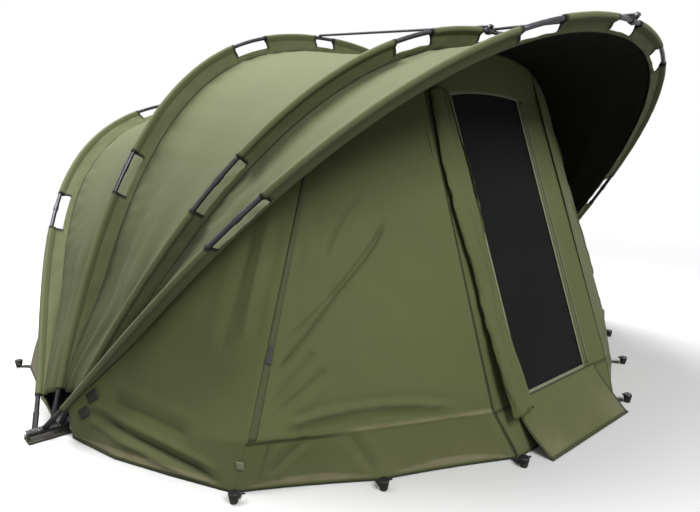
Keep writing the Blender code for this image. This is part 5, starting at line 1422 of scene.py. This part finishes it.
def tape(name, path, out, width, surface, thickness=CLOTH, crown=0.0006, count=60, lift=0.0006):
    """A strip of tape whose middle follows the path and whose face looks out."""
    path = even_path(path, count)
    out = np.asarray(out, float)
    across = unit(np.cross(out, unit(np.gradient(path, axis=0))))
    place = np.linspace(-1.0, 1.0, 7)[:, None, None]
    points = path[None] + across[None] * place * width / 2.0
    points = points + out * (lift + crown * (1.0 - place ** 2))
    piece = bent_grid(name, points, [surface], heart=points - out)
    thicken(piece, thickness, offset=0.0)
    return piece


def door_tape(name, x, z, width, surface, lift=0.0006):
    piece = tape(name, door_plane(x, z), DOOR_OUT, width, surface, lift=lift)
    place_front(piece)
    trim.append(piece)


trim = []
x_zip = MESH_HALF + 0.030
along_foot = np.linspace(-MESH_HALF, MESH_HALF, 60)
along_brow = np.linspace(-MESH_HALF - 0.010, MESH_HALF + 0.012, 60)
up_mesh = np.linspace(SEAM_Z + 0.004, ARCH_LOW_Z, 40)
up_zip = np.linspace(SEAM_Z + 0.008, ARCH_LOW_Z - 0.004, 60)
door_tape("mesh_edge_left", -MESH_HALF, up_mesh, 0.009, pale_tape)
door_tape("mesh_edge_right", MESH_HALF, up_mesh, 0.009, pale_tape)
door_tape("mesh_brow", along_brow, arch_z(along_brow) + 0.007, 0.021, pale_tape, 0.0016)
door_tape("mesh_foot", along_foot, SEAM_Z + 0.004, 0.014, pale_tape)
door_tape("door_zip_tape", x_zip, up_zip, 0.020, zip_cloth)
door_tape("door_zip_edge_inner", x_zip - 0.0105, up_zip, 0.0035, pale_tape, 0.0014)
door_tape("door_zip_edge_outer", x_zip + 0.0105, up_zip, 0.0035, pale_tape, 0.0014)
SURROUND_CUT, SURROUND_AREA = (0.81, 1.55), 0.68
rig.sheet(surround, flat=SURROUND_CUT, held="stretched", rests_on=["rib_4_sleeve_cloth"],
         area=SURROUND_AREA, with_pieces=trim)
print("tape round the mesh and a zip beside it")

# %% [markdown]
# The door itself has been unzipped, rolled up sideways and tied back. The roll is one sheet wound
# two and a half times into a flattened spiral; it is widest in its upper half, narrow where a tie
# would hold it, and creased where the turns slide over each other.

# %% Rolled door
ROLL_X, ROLL_TOP_Z, ROLL_FOOT_Z = 0.312, 1.244, 0.135
ROLL_HALF_WIDTH, ROLL_HALF_DEPTH = 0.078, 0.021
ROLL_STANDS_OFF, ROLL_FOOT_LIFTS = 0.0218, 0.034
ROLL_TURNS = 2.6
ROLL_FLAT_LENGTH = 1.12
TIE_SHARE = 0.62


def roll_width(share):
    past = (share - TIE_SHARE) / (1.0 - TIE_SHARE)
    swell = np.sin(np.pi * np.clip(share / TIE_SHARE, 0, 1)) ** 2
    return 0.72 + np.where(share > TIE_SHARE, 0.20 * past, 0.28 * swell)


def make_roll():
    share = np.linspace(0.0, 1.0, 130)[None]
    wind = np.linspace(0.0, 1.0, 150)[:, None]
    angle = math.tau * ROLL_TURNS * wind + 2.3 + 0.45 * np.sin(share * 6.0) * wind
    size = 0.36 + 0.60 * wind
    loose = 1.0 + 0.10 * ripple(angle * 1.3 + share * 2.0, share * 9.0, 131)
    loose = loose + 0.06 * np.cos(3 * angle + 7.0 * share)
    loose = loose + 0.06 * ripple(angle * 3.1, share * 30.0, 132) * wind
    side = np.cos(angle) * ROLL_HALF_WIDTH * roll_width(share) * size * loose
    depth = np.sin(angle) * ROLL_HALF_DEPTH * size * loose
    wander = 0.010 * np.sin(share * 13.0) + 0.010 * ripple(share * 17.0, share * 0.0, 133)
    groove = 0.0105 * np.exp(-((side - wander) / 0.0055) ** 2) * smooth(depth / 0.008)
    groove = groove + 0.0080 * np.exp(-((side - 0.024 - 0.8 * wander) / 0.0045) ** 2) * smooth(depth / 0.008)
    depth = np.clip(depth - groove, -ROLL_HALF_DEPTH, None)
    z = ROLL_TOP_Z + (ROLL_FOOT_Z - ROLL_TOP_Z) * share
    bend = np.clip(share - 0.72, 0, None) / 0.28
    centre = door_plane(-ROLL_X, z) + DOOR_OUT * (ROLL_STANDS_OFF + bend * ROLL_FOOT_LIFTS)[..., None]
    fray = 0.010 * np.sin(angle * 1.5) * (share > 0.96) * (share - 0.96) / 0.04
    points = centre + DOOR_OUT * depth[..., None]
    points[..., 0] += side
    points[..., 2] += fray
    piece = bent_grid("rolled_door_cloth", points, [front_cloth])
    thicken(piece, 0.0008, offset=0.0)
    place_front(piece, "rolled_door")
    width = float(np.sum(np.linalg.norm(np.diff(points[:, 60], axis=0), axis=1)))
    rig.sheet(piece, flat=(round(width, 2), ROLL_FLAT_LENGTH), held="folded", rests_on=["door_surround_cloth"])
    print("rolled door: %.2f m of cloth wound up" % width)


make_roll()

# %% [markdown]
# Below the door a flap of cloth lies out over the ground to keep mud away. It is slack, so it has
# creases that run from its pegged corners.

# %% Mud flap
FLAP_TOP_HALF = 0.300
FLAP_FOOT_HALF = 0.288
FLAP_FOOT_Y = -1.340
FLAP_CREASES = (
    (((-0.288, -1.340, 0.0), (-0.02, -1.20, 0.12)), 0.006, 0.014),
    (((0.288, -1.340, 0.0), (0.05, -1.22, 0.10)), 0.007, 0.014),
    (((0.288, -1.330, 0.0), (0.10, -1.30, 0.03)), -0.005, 0.016),
)


def make_mud_flap():
    x = np.linspace(-1.0, 1.0, 70)[None]
    share = np.linspace(0.0, 1.0, 44)[:, None]
    top = door_plane(x * FLAP_TOP_HALF, SEAM_Z) + DOOR_OUT * 0.0012
    foot = np.stack((x * FLAP_FOOT_HALF, np.full_like(x, FLAP_FOOT_Y), np.full_like(x, HEM_Z)), axis=-1)
    points = lerp(top, foot, share[..., None])
    height = ripple(x * 3.2, share * 2.0, 141) * 0.006 * smooth(share / 0.2)
    height = height - 0.009 * np.sin(np.pi * share) * np.abs(x)
    for path, rise, width in FLAP_CREASES:
        height = height + crease(points, path, rise, width)
    height = height * smooth((1.0 - share) / 0.08) * smooth(share / 0.06)
    points = points + np.array((0.0, -0.700, 0.714)) * height[..., None]
    points[..., 2] = np.maximum(points[..., 2], HEM_Z + 0.0005)
    corners = [np.exp(-(((points[..., 0] - spot) / wide) ** 2 + ((points[..., 1] + 1.31) / deep) ** 2))
               for spot, wide, deep in ((0.24, 0.09, 0.06), (-0.24, 0.07, 0.05))]
    dust = 0.10 * smooth(1.0 - points[..., 2] / 0.12) + 0.45 * np.maximum(*corners)
    seam = 0.7 * ((share > 0.94) | (share < 0.03) | (np.abs(x) > 0.965))
    marks = {"dust": np.clip(dust, 0, 1), "seam": seam}
    piece = bent_grid("mud_flap_cloth", points, [front_cloth], marks, heart=(0.0, 0.0, -1.0))
    thicken(piece, CLOTH, offset=0.0)
    place_front(piece, "mud_flap")
    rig.sheet(piece, held="draped", rests_on=["door_surround_cloth"], **sheet_measures(points))


make_mud_flap()
print("mud flap")

# %% [markdown]
# Each corner zip runs up between the wing and the front panel, under a narrow storm flap.

# %% Storm flaps over the zips
ZIP_UP = np.array((0.36374, 0.14558, 0.92006))


def make_zip_flaps():
    up = np.linspace(0.0, 0.985, 90)[None, :, None]
    reach = np.linspace(0.06, 0.42, 9)[:, None, None]
    near = lerp(CORNER, ZIP_TOP, up)
    far = lerp(lerp(CORNER, DOOR_SEAM, ZIP_BAND), under_canopy(U_BAND, EDGE_SHARE), up)
    points = lerp(near, far, reach)
    out = unit(np.cross(ZIP_UP, ZIP_WAY))
    out = out * np.sign(-out[1])
    across = np.linspace(-1.0, 1.0, 9)[:, None]
    height = 0.0022 + 0.0020 * (1.0 - across ** 4) + ripple(up[..., 0] * 14.0, across * 0.4, 151) * 0.0008
    points = points + out * height[..., None]
    for side, laid in both_sides(points):
        piece = bent_grid("zip_flap_%s_cloth" % side, laid, [zip_cloth], heart=TENT_HEART)
        thicken(piece, 0.0010, offset=0.0)
        place_front(piece, "zip_flap_" + side, "zip_tape")
        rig.sheet(piece, held="stretched", rests_on=["front_panel_%s_cloth" % side], **sheet_measures(points))


make_zip_flaps()
print("storm flaps")

# %% [markdown]
# Black patches stiffen the wings where the poles rub beside the hub, and a pale one marks the front
# corner.

# %% Patches


def patch(name, middle, way, out, length, width, surface):
    """A short square of webbing sewn flat on the wing."""
    half = unit(way) * length / 2.0
    for side, start, end, face in both_sides(middle - half, middle + half, unit(out)):
        piece = tape(name + "_" + side, (start, end), face, width, surface, count=8, lift=0.0035)
        place_front(piece)
        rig.sheet(piece, flat=(width, length), held="stretched", rests_on=["wing_%s_cloth" % side])


wing_way = on_wing(0.20, 0.45) - on_wing(0.05, 0.45)
wing_out = np.cross(wing_way, on_wing(0.10, 0.60) - on_wing(0.10, 0.40))
wing_out = wing_out * np.sign(-wing_out[1])
corner_middle = lerp(CORNER, ground(*PANEL_HEM[0]), 0.46)
corner_out = np.array((-0.80, -0.60, 0.05))
patch("hub_patch_upper", on_wing(0.085, 0.72), wing_way, wing_out, 0.050, 0.036, black_webbing)
patch("hub_patch_lower", on_wing(0.065, 0.48), wing_way, wing_out, 0.044, 0.036, black_webbing)
patch("corner_patch", corner_middle, np.array((0.0, 0.0, 1.0)), corner_out, 0.026, 0.024, pale_tape)
print("patches by the hubs and at the corners")

# %% [markdown]
# A webbing tab holds the cloth to each peg. The tabs at the front belong to the hem and move with
# it, those at the rear stay on the ground.

# %% Webbing tabs at the pegs
TAB_WIDTH, TAB_IN, TAB_OUT, TAB_Z = 0.024, 0.016, 0.033, 0.0048
FRONT_PEGS = (
    ((-1.17688, -0.79277), (-0.751, -0.661)),
    ((-0.81, -1.03), (-0.451, -0.892)),
    ((-0.37121, -1.24216), (-0.349, -0.937)),
)
REAR_PEGS = (((-1.355, 0.826), (-0.707, 0.707)), ((-0.700, 1.30745), (-0.066, 0.998)))


def webbing_tabs(end, pegs, cloth, place):
    """Short loops of webbing from inside the hem to the pegs, on both sides."""
    for number, (spot, way) in enumerate(pegs, 1):
        spot = np.array((*spot, TAB_Z))
        for side, spot, way in both_sides(spot, np.array((*way, 0.0))):
            start = spot - way * TAB_IN + (0, 0, 0.0006)
            path = [start, spot, spot + way * TAB_OUT * 0.6, spot + way * TAB_OUT]
            name = "%s_tab_%d_%s" % (end, number, side)
            tab = tape(name, path, (0.0, 0.0, 1.0), TAB_WIDTH, black_webbing, 0.0022, 0.0004, 16, 0.0)
            place(tab)
            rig.sheet(tab, flat=(TAB_WIDTH, TAB_IN + TAB_OUT), held="stretched", rests_on=[cloth.format(side)])


def place_rear(tab):
    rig.ride(tab, "ground_set")
    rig.slot(tab, "canopy_cloth")


webbing_tabs("front", FRONT_PEGS, "front_panel_{}_cloth", place_front)
webbing_tabs("rear", REAR_PEGS, "rear_panel_cloth", place_rear)
print("tabs at the pegs")

# %% [markdown]
# The floor is a wide pale plane. To the camera and in reflections the world is plain white, while
# the lamps and a soft grey sky light the object, so that colours keep their level.

# %% Floor and world
FLOOR_SEEN_TO, FLOOR_GONE_AT = 1.7, 5.5
SKY_STRENGTH = 0.30


def lay_floor():
    shape = bmesh.new()
    bmesh.ops.create_grid(shape, x_segments=1, y_segments=1, size=40.0)
    mesh = bpy.data.meshes.new("floor")
    shape.to_mesh(mesh)
    shape.free()
    finish = Finish("pale floor", 0.9)
    seen = finish.node("ShaderNodeLightPath")
    pale = finish.mix(finish.noise(0.6, 2.0), (0.80, 0.80, 0.79), (0.84, 0.84, 0.83))
    finish.set("Base Color", finish.mix(seen, (0.20, 0.20, 0.18), pale))
    reach = finish.node("ShaderNodeVectorMath", {"operation": "LENGTH"}, {0: finish.place()}, 1)
    far = finish.spread(reach, FLOOR_SEEN_TO, FLOOR_GONE_AT)
    far.socket.node.interpolation_type = "SMOOTHSTEP"
    white = finish.node("ShaderNodeEmission", {}, {"Color": (1.0, 1.0, 1.0), "Strength": 1.0})
    near = Value(finish, finish.shader.outputs[0])
    shade = finish.node("ShaderNodeMixShader", {}, {0: far * finish.seen_rays(), 1: near, 2: white})
    finish.feed(finish.tree.nodes["Material Output"].inputs[0], shade)
    mesh.materials.append(finish.material)
    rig.stage(add_object("floor", mesh))


def light_world():
    world = bpy.data.worlds.new("studio")
    bpy.context.scene.world = world
    world.use_nodes = True
    nodes = Nodes(world.node_tree)
    sky = nodes.node("ShaderNodeBackground", {}, {"Color": (0.92, 0.96, 1.0), "Strength": SKY_STRENGTH})
    white = nodes.node("ShaderNodeBackground", {}, {"Color": (1.0, 1.0, 1.0), "Strength": 1.0})
    shown = nodes.node("ShaderNodeMixShader", {}, {0: nodes.seen_rays(), 1: sky, 2: white})
    nodes.feed(world.node_tree.nodes["World Output"].inputs[0], shown)


lay_floor()
light_world()
print("floor and world")

# %% Boxes and finish


def plain(box):
    return [[float(value) for value in corner] for corner in box]


with open("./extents.json", "w") as record:
    json.dump({"cad": plain(cad_box), "scene": plain(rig.bounds())}, record)
